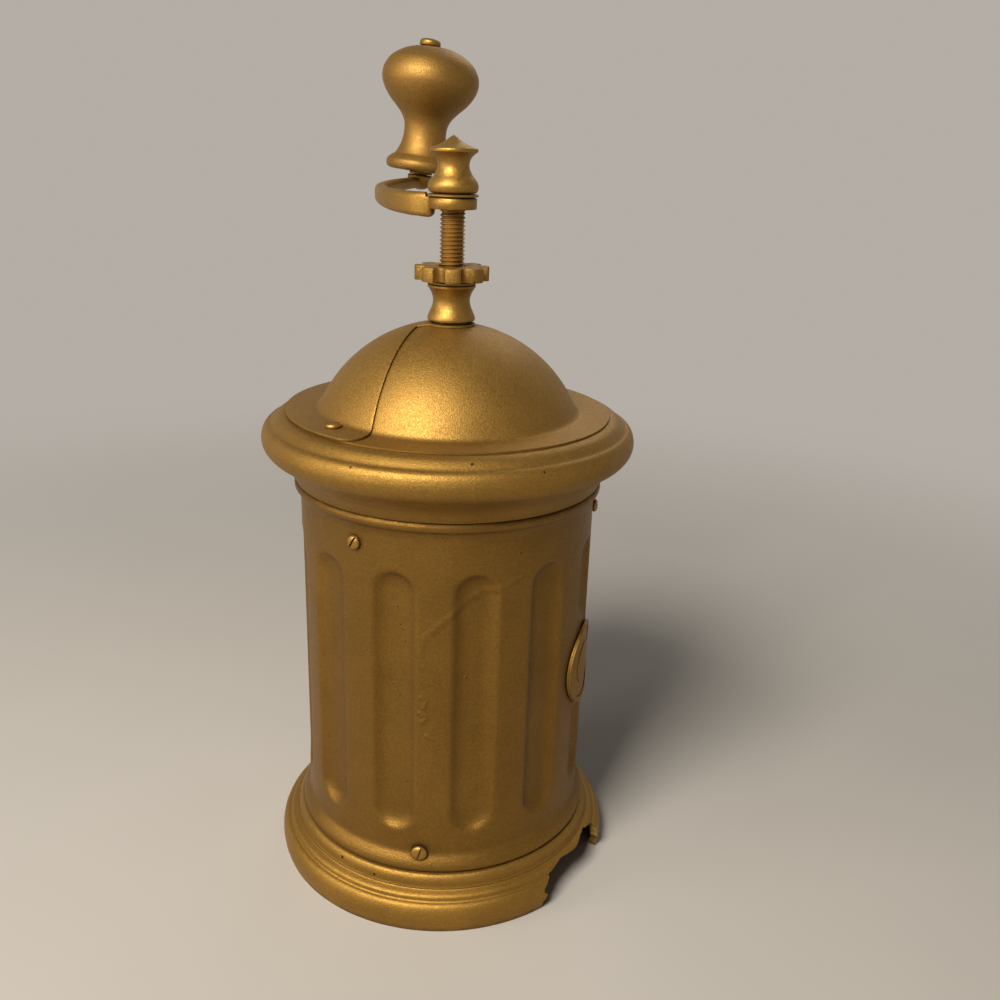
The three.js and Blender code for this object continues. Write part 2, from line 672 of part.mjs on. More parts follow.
// One surface of the dome sheet, from the neck hole down to the flange edge.
// The offset moves it outwards, and every such surface shares the same centres.
function domeLine(offset, holeRadius, flangeRadius) {
  const filletZ = flangeTop + DOME_FILLET;
  const reach = domeRadius + DOME_FILLET;
  const filletR = Math.sqrt(reach ** 2 - (filletZ - domeCentre) ** 2);
  const radius = domeRadius + offset;
  const tangent = THREE.MathUtils.radToDeg(Math.atan2(filletZ - domeCentre, filletR));
  const start = THREE.MathUtils.radToDeg(Math.acos(holeRadius / radius));
  return [
    ...arc(0, domeCentre, radius, start, tangent, 6),
    ...arc(filletR, filletZ, DOME_FILLET - offset, 180 + tangent, 270, 2).slice(1),
    at(flangeRadius, flangeTop + offset),
  ];
}
function domeSheet(offset, holeRadius, flangeRadius) {
  const outside = domeLine(offset, holeRadius, flangeRadius);
  const inside = domeLine(offset - SHEET, holeRadius, flangeRadius);
  return revolve([...outside, ...inside.reverse()], RING_SIDES);
}

// The two straight edges of the hatch, each a line beside the spindle, moved in by a margin.
function hatchPlan(margin, reach, cornerRadius) {
  const offset = HATCH_EDGE_OFFSET + margin;
  const along = rad(HATCH_EDGE_AZIMUTH);
  const outwards = new THREE.Vector2(Math.sin(along), -Math.cos(along));
  const inwards = new THREE.Vector2(-Math.cos(along), -Math.sin(along));
  const turn = rad(HATCH_MIDDLE_AZIMUTH);
  const middle = new THREE.Vector2(Math.sin(turn), -Math.cos(turn));
  const place = (m, u) => inwards.clone().multiplyScalar(m).addScaledVector(outwards, u);
  const mirror = (p) => middle.clone().multiplyScalar(2 * p.dot(middle)).sub(p);
  const tip = middle.clone().multiplyScalar(offset / inwards.dot(middle));
  const points = [tip];
  const edge = [];
  if (cornerRadius > 0) {
    const flange = hatchFlangeRadius;
    const centreM = offset + cornerRadius;
    const centreU = Math.sqrt((flange - cornerRadius) ** 2 - centreM ** 2);
    const leave = Math.atan2(centreM, centreU);
    for (let i = 0; i <= 4; i += 1) {
      const angle = -Math.PI / 2 + (leave + Math.PI / 2) * (i / 4);
      const m = centreM + cornerRadius * Math.sin(angle);
      edge.push(place(m, centreU + cornerRadius * Math.cos(angle)));
    }
  } else {
    edge.push(place(offset, Math.sqrt(reach ** 2 - offset ** 2)));
  }
  points.push(...edge);
  const last = edge[edge.length - 1];
  const startAzimuth = THREE.MathUtils.radToDeg(Math.atan2(last.x, -last.y));
  const sweep = 2 * (HATCH_MIDDLE_AZIMUTH - startAzimuth);
  const steps = SMALL_SIDES;
  for (let i = 0; i <= steps; i += 1) {
    points.push(inPlan(reach, startAzimuth + (sweep * i) / steps));
  }
  points.push(...edge.map(mirror).reverse());
  return new THREE.Shape(points);
}

// Fixed dome: flange all round, with the bean mouth cut out under the hatch.
function fixedDome() {
  const mouth = prism(
    hatchPlan(HATCH_OVERLAP, domeFlangeRadius - DOME_RIM_WIDTH, 0),
    flangeTop - SHEET - OVERRUN,
    domeCentre + domeRadius + OVERRUN,
  );
  return cut(domeSheet(0, DOME_HOLE_RADIUS, domeFlangeRadius), mouth);
}

// Sliding hatch: a dome sector with a hub ring that turns about the neck.
function slidingHatch() {
  const low = flangeTop - OVERRUN;
  const high = domeCentre + hatchOuter + OVERRUN;
  const reach = hatchFlangeRadius + OVERRUN;
  const plate = prism(hatchPlan(0, reach, HATCH_CORNER_RADIUS), low, high);
  const hub = drum(HATCH_EDGE_OFFSET, low, high, SMALL_SIDES);
  const halfWeb = HATCH_WEB_WIDTH / 2;
  const web = block([-halfWeb, -HATCH_EDGE_OFFSET - HATCH_WEB_REACH, low], [halfWeb, 0, high]);
  web.rotateZ(rad(HATCH_MIDDLE_AZIMUTH));
  const sheet = domeSheet(SLIDE_GAP + SHEET, DOME_HOLE_RADIUS, hatchFlangeRadius);
  const blank = common(sheet, join(plate, hub, web));
  const spot = inPlan(hatchScrewRadius, HATCH_SCREW_AZIMUTH);
  return cut(blank, screwHoleAt(spot, low, flangeTop + DOME_FILLET));
}

// Hopper: rim, ledge for the stirrup, funnel and the collar that holds the burr ring.
function hopperFunnel() {
  const rim = corniceTop - HOPPER_RIM_DROP;
  const skirtBottom = ledgeTop - SKIRT_DROP;
  const funnelTop = ledgeTop - FUNNEL_DROP;
  const funnelFoot = at(THROAT_RADIUS + THROAT_FLARE, throatTop + THROAT_FLARE_HEIGHT);
  const slope = at(ledgeInner, funnelTop).sub(funnelFoot);
  const across = new THREE.Vector2(slope.y, -slope.x).normalize().multiplyScalar(FUNNEL_WALL);
  const outerStart = at(ledgeInner + across.x, funnelTop + across.y);
  const collarMeets = outerStart.y - (outerStart.x - collarOuter) * (slope.y / slope.x);
  const ledgeBottom = ledgeTop - LEDGE_THICKNESS;
  const outline = [
    at(skirtOuter, skirtBottom),
    at(skirtOuter, rim),
    at(skirtOuter - HOPPER_WALL, rim),
    at(skirtOuter - HOPPER_WALL, ledgeTop),
    at(ledgeInner, ledgeTop),
    at(ledgeInner, funnelTop),
    funnelFoot,
    at(THROAT_RADIUS, throatTop),
    at(BURR_RING_RADIUS + SEAT_GAP, throatTop),
    at(BURR_RING_RADIUS + SEAT_GAP, burrBottom),
    at(collarOuter, burrBottom),
    at(collarOuter, collarMeets),
    at(outerStart.x - (outerStart.y - ledgeBottom) * (slope.x / slope.y), ledgeBottom),
    at(skirtOuter - SKIRT_WALL, ledgeBottom),
    at(skirtOuter - SKIRT_WALL, skirtBottom),
  ];
  const wallHole = screwHole(skirtOuter - SKIRT_WALL - OVERRUN, skirtOuter + OVERRUN);
  const wallHoles = screwAzimuths(UPPER_SCREW_AZIMUTH).map((a) => (
    pointOut(wallHole, a, upperScrewHeight)
  ));
  const footHoles = [0, 180].map((side) => screwHoleAt(
    inPlan(stirrupScrewRadius, STIRRUP_AZIMUTH + side),
    ledgeTop - STIRRUP_SCREW_BITE,
    ledgeTop + OVERRUN,
  ));
  const bridgeHoles = [-1, 1].map((side) => screwHoleAt(
    at(side * bridgeScrewRadius, 0),
    burrBottom - OVERRUN,
    burrBottom + BRIDGE_SCREW_BITE,
  ));
  return cut(revolve(outline, MILL_SIDES), ...wallHoles, ...footHoles, ...bridgeHoles);
}

// A ring of saw teeth: each tooth rises steeply to its tip and falls slowly to the next root.
function toothRing(tip, root, z, twist) {
  const pitch = 360 / TOOTH_COUNT;
  return Array.from({ length: TOOTH_COUNT }, (_, i) => [
    polar(tip, i * pitch + twist, z),
    polar(root, i * pitch + pitch * 0.35 + twist, z),
  ]).flat();
}
function plainRing(radius, z, twist) {
  return toothRing(radius, radius, z, twist);
}

// Tip radius of the cone burr at a share of its grinding height.
function coneTip(share) {
  return CONE_BOTTOM_RADIUS + (CONE_TOP_RADIUS - CONE_BOTTOM_RADIUS) * share;
}

// Burr ring: slanted teeth inside a plain ring that slips into the hopper collar.
function burrRing() {
  const shares = [-0.075, 0.5, 1];
  const twistAt = (share) => share * TOOTH_TWIST;
  const toothed = shares.map((share) => {
    const tip = coneTip(share) + BURR_GAP;
    return toothRing(tip, tip + TOOTH_DEPTH, coneBottom + share * CONE_HEIGHT, twistAt(share));
  });
  const mouth = coneTip(1) + BURR_GAP + TOOTH_DEPTH;
  const low = toothed[0].map((p) => p.clone().setZ(burrBottom));
  return ringStack([
    low,
    ...toothed.slice(1),
    toothRing(mouth, mouth + BURR_MOUTH_FLARE, burrTop, twistAt(1)),
    plainRing(BURR_RING_RADIUS, burrTop, twistAt(1)),
    plainRing(BURR_RING_RADIUS, burrBottom, twistAt(1)),
  ]);
}

// Cone burr: fine slanted teeth below and a narrower breaker above.
function burrCone() {
  const shares = [0, 0.5, 1];
  const teeth = shares.map((share) => toothRing(
    coneTip(share),
    coneTip(share) - TOOTH_DEPTH,
    coneBottom + share * CONE_HEIGHT,
    share * TOOTH_TWIST,
  ));
  const recess = coneBottom + SHOULDER_THICKNESS + 2 * SEAT_GAP;
  return ringStack([
    plainRing(SHOULDER_RADIUS + HOLE_GAP, coneBottom, 0),
    ...teeth,
    toothRing(BREAKER_RADIUS, BREAKER_RADIUS - BREAKER_TOOTH, coneTop, TOOTH_TWIST * 1.3),
    plainRing(boreRadius, coneTop, TOOTH_TWIST),
    plainRing(boreRadius, recess, 0),
    plainRing(SHOULDER_RADIUS + HOLE_GAP, recess, 0),
  ]);
}

// Lower bridge: a bar under the collar with the bush for the spindle's lower end.
function lowerBridge() {
  const bar = block(
    [-collarOuter, -BRIDGE_WIDTH / 2, bridgeTop - BRIDGE_THICKNESS],
    [collarOuter, BRIDGE_WIDTH / 2, bridgeTop],
  );
  const hub = drum(BRIDGE_HUB_RADIUS, bridgeTop - BRIDGE_HUB_HEIGHT, bridgeTop, SMALL_SIDES);
  const boreBottom = bridgeTop - BRIDGE_HUB_HEIGHT - OVERRUN;
  const bore = drum(boreRadius, boreBottom, bridgeTop + OVERRUN, SMALL_SIDES);
  const holes = [-1, 1].map((side) => screwHoleAt(
    at(side * bridgeScrewRadius, 0),
    bridgeTop - BRIDGE_THICKNESS - OVERRUN,
    bridgeTop + OVERRUN,
  ));
  return cut(join(bar, hub), bore, ...holes);
}

// Stirrup: the strap under the dome that carries the upper bearing.
function stirrup() {
  const foot = ledgeTop + SEAT_GAP;
  const strap = STIRRUP_STRAP;
  const outer = stirrupFootOuter;
  const crown = stirrupHubBottom + STIRRUP_CROWN_RISE;
  const inner = domeRadius - SHEET;
  const domeR = (z) => Math.sqrt(inner ** 2 - (z - domeCentre) ** 2) - STIRRUP_DOME_GAP;
  const crownR = domeR(crown) * STIRRUP_CROWN_SHARE;
  const shoulder = corniceTop;
  const upright = shoulder - STIRRUP_SHOULDER_DROP;
  const bend = (shoulder + crown) / 2 + STIRRUP_BEND_RISE;
  const half = [
    [outer, foot],
    [outer, upright],
    [domeR(shoulder), shoulder],
    [domeR(bend), bend],
    [crownR, crown],
  ];
  const back = [
    [crownR - strap * 0.5, crown - strap],
    [domeR(bend) - strap, bend - strap * 0.5],
    [domeR(shoulder) - strap, shoulder - strap * 0.4],
    [outer - strap, upright - strap * 0.4],
    [outer - strap, foot + strap],
    [stirrupFootInner, foot + strap],
    [stirrupFootInner, foot],
  ];
  const over = half.map(([s, z]) => new THREE.Vector2(s, z));
  const under = back.map(([s, z]) => new THREE.Vector2(s, z));
  const across = (points) => points.map((p) => new THREE.Vector2(-p.x, p.y));
  const strapShape = new THREE.Shape([
    ...over, ...across(over).reverse(), ...across(under).reverse(), ...under,
  ]);
  const band = new THREE.ExtrudeGeometry(strapShape, { depth: STIRRUP_WIDTH, bevelEnabled: false });
  band.translate(0, 0, -STIRRUP_WIDTH / 2).rotateX(Math.PI / 2).rotateZ(rad(STIRRUP_AZIMUTH + 90));
  const hub = drum(STIRRUP_HUB_RADIUS, stirrupHubBottom, stirrupHubTop, SMALL_SIDES);
  const hubEnd = stirrupHubTop + OVERRUN;
  const bore = drum(boreRadius, stirrupHubBottom - OVERRUN, hubEnd, SMALL_SIDES);
  const socketBottom = neckBottom - NECK_SPIGOT_LENGTH - SEAT_GAP;
  const socket = drum(NECK_SPIGOT_RADIUS + HOLE_GAP, socketBottom, hubEnd, SMALL_SIDES);
  const holes = [0, 180].map((side) => screwHoleAt(
    inPlan(stirrupScrewRadius, STIRRUP_AZIMUTH + side),
    foot - OVERRUN,
    foot + strap + OVERRUN,
  ));
  return cut(join(closed(band), hub), bore, socket, ...holes);
}

// Neck collar: screws into the stirrup's hub and clamps the dome, and the star nut turns on it.
function neckCollar() {
  const spigotEnd = neckBottom - NECK_SPIGOT_LENGTH;
  const rise = NECK_HEIGHT;
  return revolve([
    at(boreRadius, spigotEnd),
    at(NECK_SPIGOT_RADIUS, spigotEnd),
    at(NECK_SPIGOT_RADIUS, neckBottom),
    at(NECK_BASE_RADIUS, neckBottom),
    at(NECK_BASE_RADIUS - 0.3, neckBottom + rise * 0.1),
    at(NECK_WAIST_RADIUS + 0.4, neckBottom + rise * 0.3),
    at(NECK_WAIST_RADIUS, neckBottom + rise * 0.5),
    at(NECK_WAIST_RADIUS + 0.3, neckBottom + rise * 0.68),
    at(NECK_TOP_RADIUS - 0.9, neckBottom + rise * 0.88),
    at(NECK_TOP_RADIUS, neckBottom + rise * 0.95),
    at(NECK_TOP_RADIUS, neckTop),
    at(boreRadius, neckTop),
  ], SMALL_SIDES);
}

// Outline of a shaft with one flat, which a keyed washer fits round.
function keyedCircle(radius, flatAt) {
  const edge = Math.acos(flatAt / radius);
  const shape = new THREE.Path();
  const steps = 20;
  const points = Array.from({ length: steps + 1 }, (_, i) => {
    const angle = Math.PI / 2 + edge + ((2 * Math.PI - 2 * edge) * i) / steps;
    return new THREE.Vector2(radius * Math.cos(angle), radius * Math.sin(angle));
  });
  return shape.setFromPoints([...points, points[0]]);
}

// Thrust washer: its flat keys it to the spindle, so it turns with it and the spindle slides in it.
function thrustWasher() {
  const disc = new THREE.Shape();
  disc.absarc(0, 0, NECK_TOP_RADIUS, 0, Math.PI * 2);
  disc.holes.push(keyedCircle(boreRadius, SPINDLE_RADIUS - FLAT_DEPTH + RUNNING_GAP));
  return prism(disc, neckTop + SEAT_GAP, washerTop);
}

// Star nut: eight finger lobes round a bored disc.
function starNut() {
  const pitch = 360 / STAR_LOBES;
  const points = [];
  // Each lobe as (radius, share of a pitch from its middle).
  const lobeLine = [
    [STAR_ROOT_RADIUS, -0.5],
    [STAR_ROOT_RADIUS + 0.7, -0.33],
    [STAR_RADIUS - 0.4, -0.26],
    [STAR_RADIUS, -0.12],
    [STAR_RADIUS, 0.12],
    [STAR_RADIUS - 0.4, 0.26],
    [STAR_ROOT_RADIUS + 0.7, 0.33],
  ];
  for (let lobe = 0; lobe < STAR_LOBES; lobe += 1) {
    const middle = STAR_PHASE + lobe * pitch;
    points.push(...lobeLine.map(([radius, share]) => inPlan(radius, middle + share * pitch)));
  }
  const star = new THREE.Shape(points);
  const bore = new THREE.Path();
  bore.absarc(0, 0, boreRadius, 0, Math.PI * 2);
  star.holes.push(bore);
  return prism(star, washerTop + SEAT_GAP, starTop);
}

// Spindle: one shaft from the lower bush up to the stud that takes the finial.
function spindleShaft() {
  const bottom = bridgeTop - BRIDGE_HUB_HEIGHT - SPINDLE_TAIL;
  const seat = eyeBottom - SEAT_GAP;
  const shoulderBottom = coneBottom;
  const shaft = revolve([
    at(0, bottom),
    at(SPINDLE_RADIUS - SPINDLE_CHAMFER, bottom),
    at(SPINDLE_RADIUS, bottom + SPINDLE_CHAMFER),
    at(SPINDLE_RADIUS, shoulderBottom),
    at(SHOULDER_RADIUS, shoulderBottom),
    at(SHOULDER_RADIUS, shoulderBottom + SHOULDER_THICKNESS),
    at(SPINDLE_RADIUS, shoulderBottom + SHOULDER_THICKNESS),
    at(SPINDLE_RADIUS, seat),
    at(0, seat),
  ], SMALL_SIDES);
  const half = EYE_SQUARE / 2;
  const square = block([-half, -half, seat - SHAFT_JOINT], [half, half, eyeTop - SQUARE_SINK]);
  const stud = drum(STUD_RADIUS, eyeTop - SHAFT_JOINT, finialBottom + STUD_LENGTH, PIN_SIDES);
  const flat = block(
    [-SHOULDER_RADIUS, SPINDLE_RADIUS - FLAT_DEPTH, neckTop - FLAT_BELOW_NECK],
    [SHOULDER_RADIUS, SHOULDER_RADIUS, seat - FLAT_BELOW_CRANK],
  );
  const pinHoleRadius = SPRING_PIN_RADIUS + HOLE_GAP;
  const pinHole = drum(pinHoleRadius, -SHOULDER_RADIUS, SHOULDER_RADIUS, SCREW_SIDES);
  pinHole.rotateY(Math.PI / 2).translate(0, 0, springPinHeight);
  return cut(join(shaft, square, stud), flat, pinHole);
}

// Thrust spring: one unbroken wire, with its least gap between turns measured on points.
function thrustSpring() {
  const steps = 8 * SPRING_TURNS;
  const low = springTop - SPRING_LENGTH + SPRING_WIRE / 2;
  const high = springTop - SPRING_WIRE / 2;
  const centres = Array.from({ length: steps + 1 }, (_, i) => {
    const share = i / steps;
    const p = polar(SPRING_RADIUS, share * SPRING_TURNS * 360);
    return p.setZ(low + (high - low) * share);
  });
  let least = Infinity;
  centres.forEach((p, i) => centres.slice(i + 5).forEach((q) => {
    least = Math.min(least, p.distanceTo(q) - SPRING_WIRE);
  }));
  console.log(`thrust_spring least gap to itself ${least.toFixed(2)} mm`);
  const sides = 5;
  const rings = centres.map((p, i) => {
    const azimuth = (i / steps) * SPRING_TURNS * 360;
    const out = polar(1, azimuth);
    return Array.from({ length: sides }, (_, k) => {
      const angle = (k / sides) * Math.PI * 2;
      const centre = p.clone().addScaledVector(out, Math.cos(angle) * SPRING_WIRE / 2);
      return centre.add(new THREE.Vector3(0, 0, Math.sin(angle) * SPRING_WIRE / 2));
    });
  });
  const flat = (ring) => ring.map(() => ring.reduce((sum, p) => sum.add(p), new THREE.Vector3())
    .divideScalar(sides));
  return ringStack([flat(rings[0]), ...rings, flat(rings[rings.length - 1])]);
}

// Plan of the crank arm's middle line, from beside the spindle round to the knob pin.
function armLine() {
  // Shares of the crank's reach, across it and along it.
  const bow = [
    [-0.067, 0],
    [-0.128, 0.036],
    [-0.203, 0.156],
    [-0.263, 0.356],
    [-0.287, 0.578],
    [-0.269, 0.8],
  ];
  return new THREE.CatmullRomCurve3([
    ...bow.map(([across, along]) => new THREE.Vector3(across * KNOB_Y, along * KNOB_Y, 0)),
    new THREE.Vector3(KNOB_X, KNOB_Y, 0),
  ]);
}

// Crank: a flat bar on edge, bowed in plan, with a squared eye at the spindle.
function crankArm() {
  const steps = 14;
  const line = armLine().getPoints(steps);
  const side = (sign) => line.map((p, i) => {
    const ahead = line[Math.min(i + 1, steps)];
    const behind = line[Math.max(i - 1, 0)];
    const run = ahead.clone().sub(behind).normalize();
    return new THREE.Vector2(
      p.x - sign * run.y * (ARM_THICKNESS / 2),
      p.y + sign * run.x * (ARM_THICKNESS / 2),
    );
  });
  const plan = new THREE.Shape([...side(1), ...side(-1).reverse()]);
  const lift = (geometry) => {
    const place = geometry.attributes.position;
    for (let i = 0; i < place.count; i += 1) {
      place.setZ(i, place.getZ(i) + (ARM_CLIMB * Math.max(0, place.getY(i))) / KNOB_Y);
    }
    return geometry;
  };
  const armBottom = eyeBottom - ARM_DROP;
  const bar = lift(prism(plan, armBottom, armBottom + ARM_HEIGHT));
  const washerRoom = CRANK_WASHER_RADIUS + CRANK_WASHER_CLEAR;
  const washerClear = drum(washerRoom, eyeTop, eyeTop + ARM_HEIGHT, SMALL_SIDES);
  const spindleClear = drum(SPINDLE_RADIUS + OVERRUN, armBottom - OVERRUN, eyeBottom, SMALL_SIDES);
  const eye = drum(EYE_RADIUS, eyeBottom, eyeTop, SMALL_SIDES);
  const half = EYE_SQUARE / 2 + HOLE_GAP;
  const square = block([-half, -half, eyeBottom - OVERRUN], [half, half, eyeTop + OVERRUN]);
  const boss = leaned(drum(KNOB_WASHER_RADIUS + KNOB_BOSS_OUT, -bossHeight, 0, SMALL_SIDES));
  const pinHole = leaned(drum(PIN_RADIUS + HOLE_GAP, -bossHeight - OVERRUN, OVERRUN, PIN_SIDES));
  const arm = join(cut(bar, washerClear, spindleClear), eye, boss);
  return cut(arm, square, pinHole);
}

// Places a piece on the knob's leaning axis, with zero at the top of the crank's boss.
function leaned(geometry) {
  return geometry.clone().rotateY(rad(KNOB_LEAN)).translate(KNOB_X, KNOB_Y, bossTop);
}

// Finial: the turned cap nut that holds the crank down.
function finialNut() {
  const z = finialBottom;
  const h = FINIAL_HEIGHT;
  const bore = STUD_RADIUS + HOLE_GAP;
  const boreTop = z + STUD_LENGTH + SEAT_GAP;
  return revolve([
    at(bore, z),
    at(FINIAL_BULGE - 1.6, z),
    at(FINIAL_BULGE - 0.3, z + h * 0.04),
    at(FINIAL_BULGE, z + h * 0.11),
    at(FINIAL_BULGE - 0.9, z + h * 0.22),
    at(FINIAL_WAIST + 0.7, z + h * 0.34),
    at(FINIAL_WAIST, z + h * 0.45),
    at(FINIAL_WAIST + 0.5, z + h * 0.56),
    at(FINIAL_BRIM - 1, z + h * 0.67),
    at(FINIAL_BRIM, z + h * 0.735),
    at(FINIAL_BRIM - 0.3, z + h * 0.78),
    at(FINIAL_BRIM * 0.55, z + h * 0.84),
    at(FINIAL_BRIM * 0.24, z + h * 0.93),
    at(0, z + h),
    at(0, boreTop),
    at(bore, boreTop),
  ], SMALL_SIDES);
}

// Knob: a turned wooden bulb on a narrow neck with a flared foot, bored for its pin.
function knobTurning() {
  const h = KNOB_HEIGHT;
  const bore = PIN_RADIUS + RUNNING_GAP;
  return revolve([
    at(bore, 0),
    at(KNOB_FOOT_RADIUS - 2.2, 0),
    at(KNOB_FOOT_RADIUS - 0.3, h * 0.035),
    at(KNOB_FOOT_RADIUS, h * 0.075),
    at(KNOB_FOOT_RADIUS - 1, h * 0.115),
    at(KNOB_FOOT_RADIUS * 0.72, h * 0.16),
    at(KNOB_NECK_RADIUS + 0.6, h * 0.24),
    at(KNOB_NECK_RADIUS, h * 0.33),
    at(KNOB_NECK_RADIUS + 0.7, h * 0.41),
    at(KNOB_BULB_RADIUS * 0.6, h * 0.5),
    at(KNOB_BULB_RADIUS * 0.84, h * 0.59),
    at(KNOB_BULB_RADIUS * 0.97, h * 0.68),
    at(KNOB_BULB_RADIUS, h * 0.75),
    at(KNOB_BULB_RADIUS * 0.97, h * 0.83),
    at(KNOB_BULB_RADIUS * 0.86, h * 0.905),
    at(KNOB_BULB_RADIUS * 0.65, h * 0.965),
    at(KNOB_BULB_RADIUS * 0.36, h),
    at(bore, h),
  ], SMALL_SIDES + 2);
}

// Knob pin: riveted through the crank, with its round head on top of the knob.
function knobPin() {
  const knobTop = KNOB_WASHER_THICKNESS + 2 * SEAT_GAP + KNOB_HEIGHT;
  const seat = knobTop + SEAT_GAP;
  const rivetTop = -bossHeight - SEAT_GAP;
  return revolve([
    at(0, rivetTop - PIN_RIVET_HEIGHT),
    at(PIN_RADIUS + PIN_RIVET_OUT * 0.75, rivetTop - PIN_RIVET_HEIGHT * 0.6),
    at(PIN_RADIUS + PIN_RIVET_OUT, rivetTop),
    at(PIN_RADIUS, rivetTop),
    at(PIN_RADIUS, seat),
    at(PIN_HEAD_RADIUS, seat),
    at(PIN_HEAD_RADIUS, seat + PIN_HEAD_HEIGHT * 0.45),
    at(PIN_HEAD_RADIUS * 0.75, seat + PIN_HEAD_HEIGHT * 0.85),
    at(0, seat + PIN_HEAD_HEIGHT),
  ], PIN_SIDES);
}

// Drawer tray: an open sheet box behind the curved front.
function drawerTray() {
  const back = drawerPanelInside - SLIDE_GAP;
  const low = windowBottom + SLIDE_GAP;
  const high = windowTop - SLIDE_GAP - TRAY_HEADROOM;
  const shell = block([-TRAY_HALF_WIDTH, TRAY_FRONT, low], [TRAY_HALF_WIDTH, back, high]);
  const room = block(
    [-TRAY_HALF_WIDTH + TRAY_WALL, TRAY_FRONT + TRAY_WALL, low + TRAY_WALL],
    [TRAY_HALF_WIDTH - TRAY_WALL, back - TRAY_WALL, high + OVERRUN],
  );
  return cut(shell, room, drawerStudHole());
}
function drawerStudHole() {
  const start = drawerPanelInside - SLIDE_GAP - TRAY_WALL - OVERRUN;
  const hole = drum(DRAWER_STUD_RADIUS + HOLE_GAP, start, BODY_RADIUS + OVERRUN, SCREW_SIDES);
  return pointOut(hole, 180, drawerMiddle);
}

// Drawer knob: a small turned knob with a stud that is riveted inside the tray.
function drawerKnob() {
  const seat = BODY_RADIUS + SEAT_GAP;
  const inside = drawerPanelInside - SLIDE_GAP - TRAY_WALL - SEAT_GAP;
  const r = DRAWER_KNOB_RADIUS;
  const l = DRAWER_KNOB_LENGTH;
  const turned = revolve([
    at(0, inside - DRAWER_RIVET_HEIGHT),
    at(DRAWER_STUD_RADIUS + DRAWER_RIVET_OUT * 0.77, inside - DRAWER_RIVET_HEIGHT * 0.83),
    at(DRAWER_STUD_RADIUS + DRAWER_RIVET_OUT, inside),
    at(DRAWER_STUD_RADIUS, inside),
    at(DRAWER_STUD_RADIUS, seat),
    at(r * 0.8, seat),
    at(r * 0.62, seat + l * 0.2),
    at(r * 0.55, seat + l * 0.36),
    at(r * 0.9, seat + l * 0.55),
    at(r, seat + l * 0.72),
    at(r * 0.85, seat + l * 0.9),
    at(r * 0.45, seat + l),
    at(0, seat + l),
  ], PIN_SIDES);
  return pointOut(turned, 180, drawerMiddle);
}

// Drawer rail: an angle strip on the floor that carries and guides one side of the tray.
function drawerRail(side) {
  const low = floorTop + SEAT_GAP;
  const shelf = windowBottom + SLIDE_GAP - SEAT_GAP;
  const wallIn = TRAY_HALF_WIDTH + SLIDE_GAP;
  const shelfIn = wallIn - RAIL_SHELF;
  const section = new THREE.Shape([
    at(wallIn + RAIL_WALL, low),
    at(wallIn + RAIL_WALL, low + RAIL_HEIGHT),
    at(wallIn, low + RAIL_HEIGHT),
    at(wallIn, shelf),
    at(shelfIn, shelf),
    at(shelfIn, low),
  ]);
  const length = -2 * TRAY_FRONT;
  const strip = new THREE.ExtrudeGeometry(section, { depth: length, bevelEnabled: false });
  strip.translate(0, 0, -length / 2).rotateX(Math.PI / 2);
  return closed(side < 0 ? strip.rotateZ(Math.PI) : strip);
}

// Assembly of the standing parts
add('foot_ring', footRing(), gold('#8d6a2b'));
add('base_casting', baseCasting(), gold('#93702e'));
const footScrew = roundScrew(FOOT_SCREW_LENGTH);
screwAzimuths(LOWER_SCREW_AZIMUTH).forEach((azimuth, i) => {
  const screw = add(`foot_screw_${i + 1}`, footScrew, steel());
  const spot = polar(footScrewRadius, azimuth, FOOT_HEIGHT - FOOT_WALL - SEAT_GAP);
  screw.position.copy(spot);
  screw.rotation.x = Math.PI;
});
const floorRadius = BODY_RADIUS - BODY_WALL - FLOOR_MARGIN;
add('bottom_plate', drum(floorRadius, spigotTop + SEAT_GAP, floorTop, RING_SIDES), tin());
const shell = columnShell();
add('body_shell', cut(shell, windowBlock(0), ...shellScrewHoles()), gold());
add('medallion', medallion(), gold('#8a6829'));
add('cornice_lower', corniceLower(), gold('#7d5d26'));
add('cornice_upper', corniceUpper(), gold('#a07a35'));
add('fixed_dome', fixedDome(), gold('#94702f'));
add('hopper_funnel', hopperFunnel(), iron());
add('stirrup', stirrup(), iron());
add('neck_collar', neckCollar(), gold('#9c7734'));
add('burr_ring', burrRing(), steel());
add('lower_bridge', lowerBridge(), iron());
add('drawer_rail_left', drawerRail(-1), tin());
add('drawer_rail_right', drawerRail(1), tin());

// Wall screws point outwards through the shell into the hopper skirt and the base spigot.
screwAzimuths(UPPER_SCREW_AZIMUTH).forEach((azimuth, i) => {
  const length = SKIRT_WALL + BODY_WALL + UPPER_SCREW_BITE;
  const screw = pointOut(roundScrew(length), azimuth, upperScrewHeight, BODY_RADIUS + SEAT_GAP);
  add(`upper_screw_${i + 1}`, screw, gold('#a8823c'));
});
screwAzimuths(LOWER_SCREW_AZIMUTH).forEach((azimuth, i) => {
  const seat = BODY_RADIUS + LOWER_BEAD_OUT + SEAT_GAP;
  const length = seat - skirtOuter + LOWER_SCREW_BITE;
  const screw = pointOut(roundScrew(length), azimuth, lowerScrewHeight, seat);
  add(`lower_screw_${i + 1}`, screw, gold('#a8823c'));
});
const stirrupShank = STIRRUP_STRAP + STIRRUP_SCREW_BITE;
[0, 180].forEach((side, i) => {
  const screw = add(`stirrup_screw_${i + 1}`, roundScrew(stirrupShank), steel());
  const seat = ledgeTop + SEAT_GAP + STIRRUP_STRAP + SEAT_GAP;
  screw.position.copy(polar(stirrupScrewRadius, STIRRUP_AZIMUTH + side, seat));
});
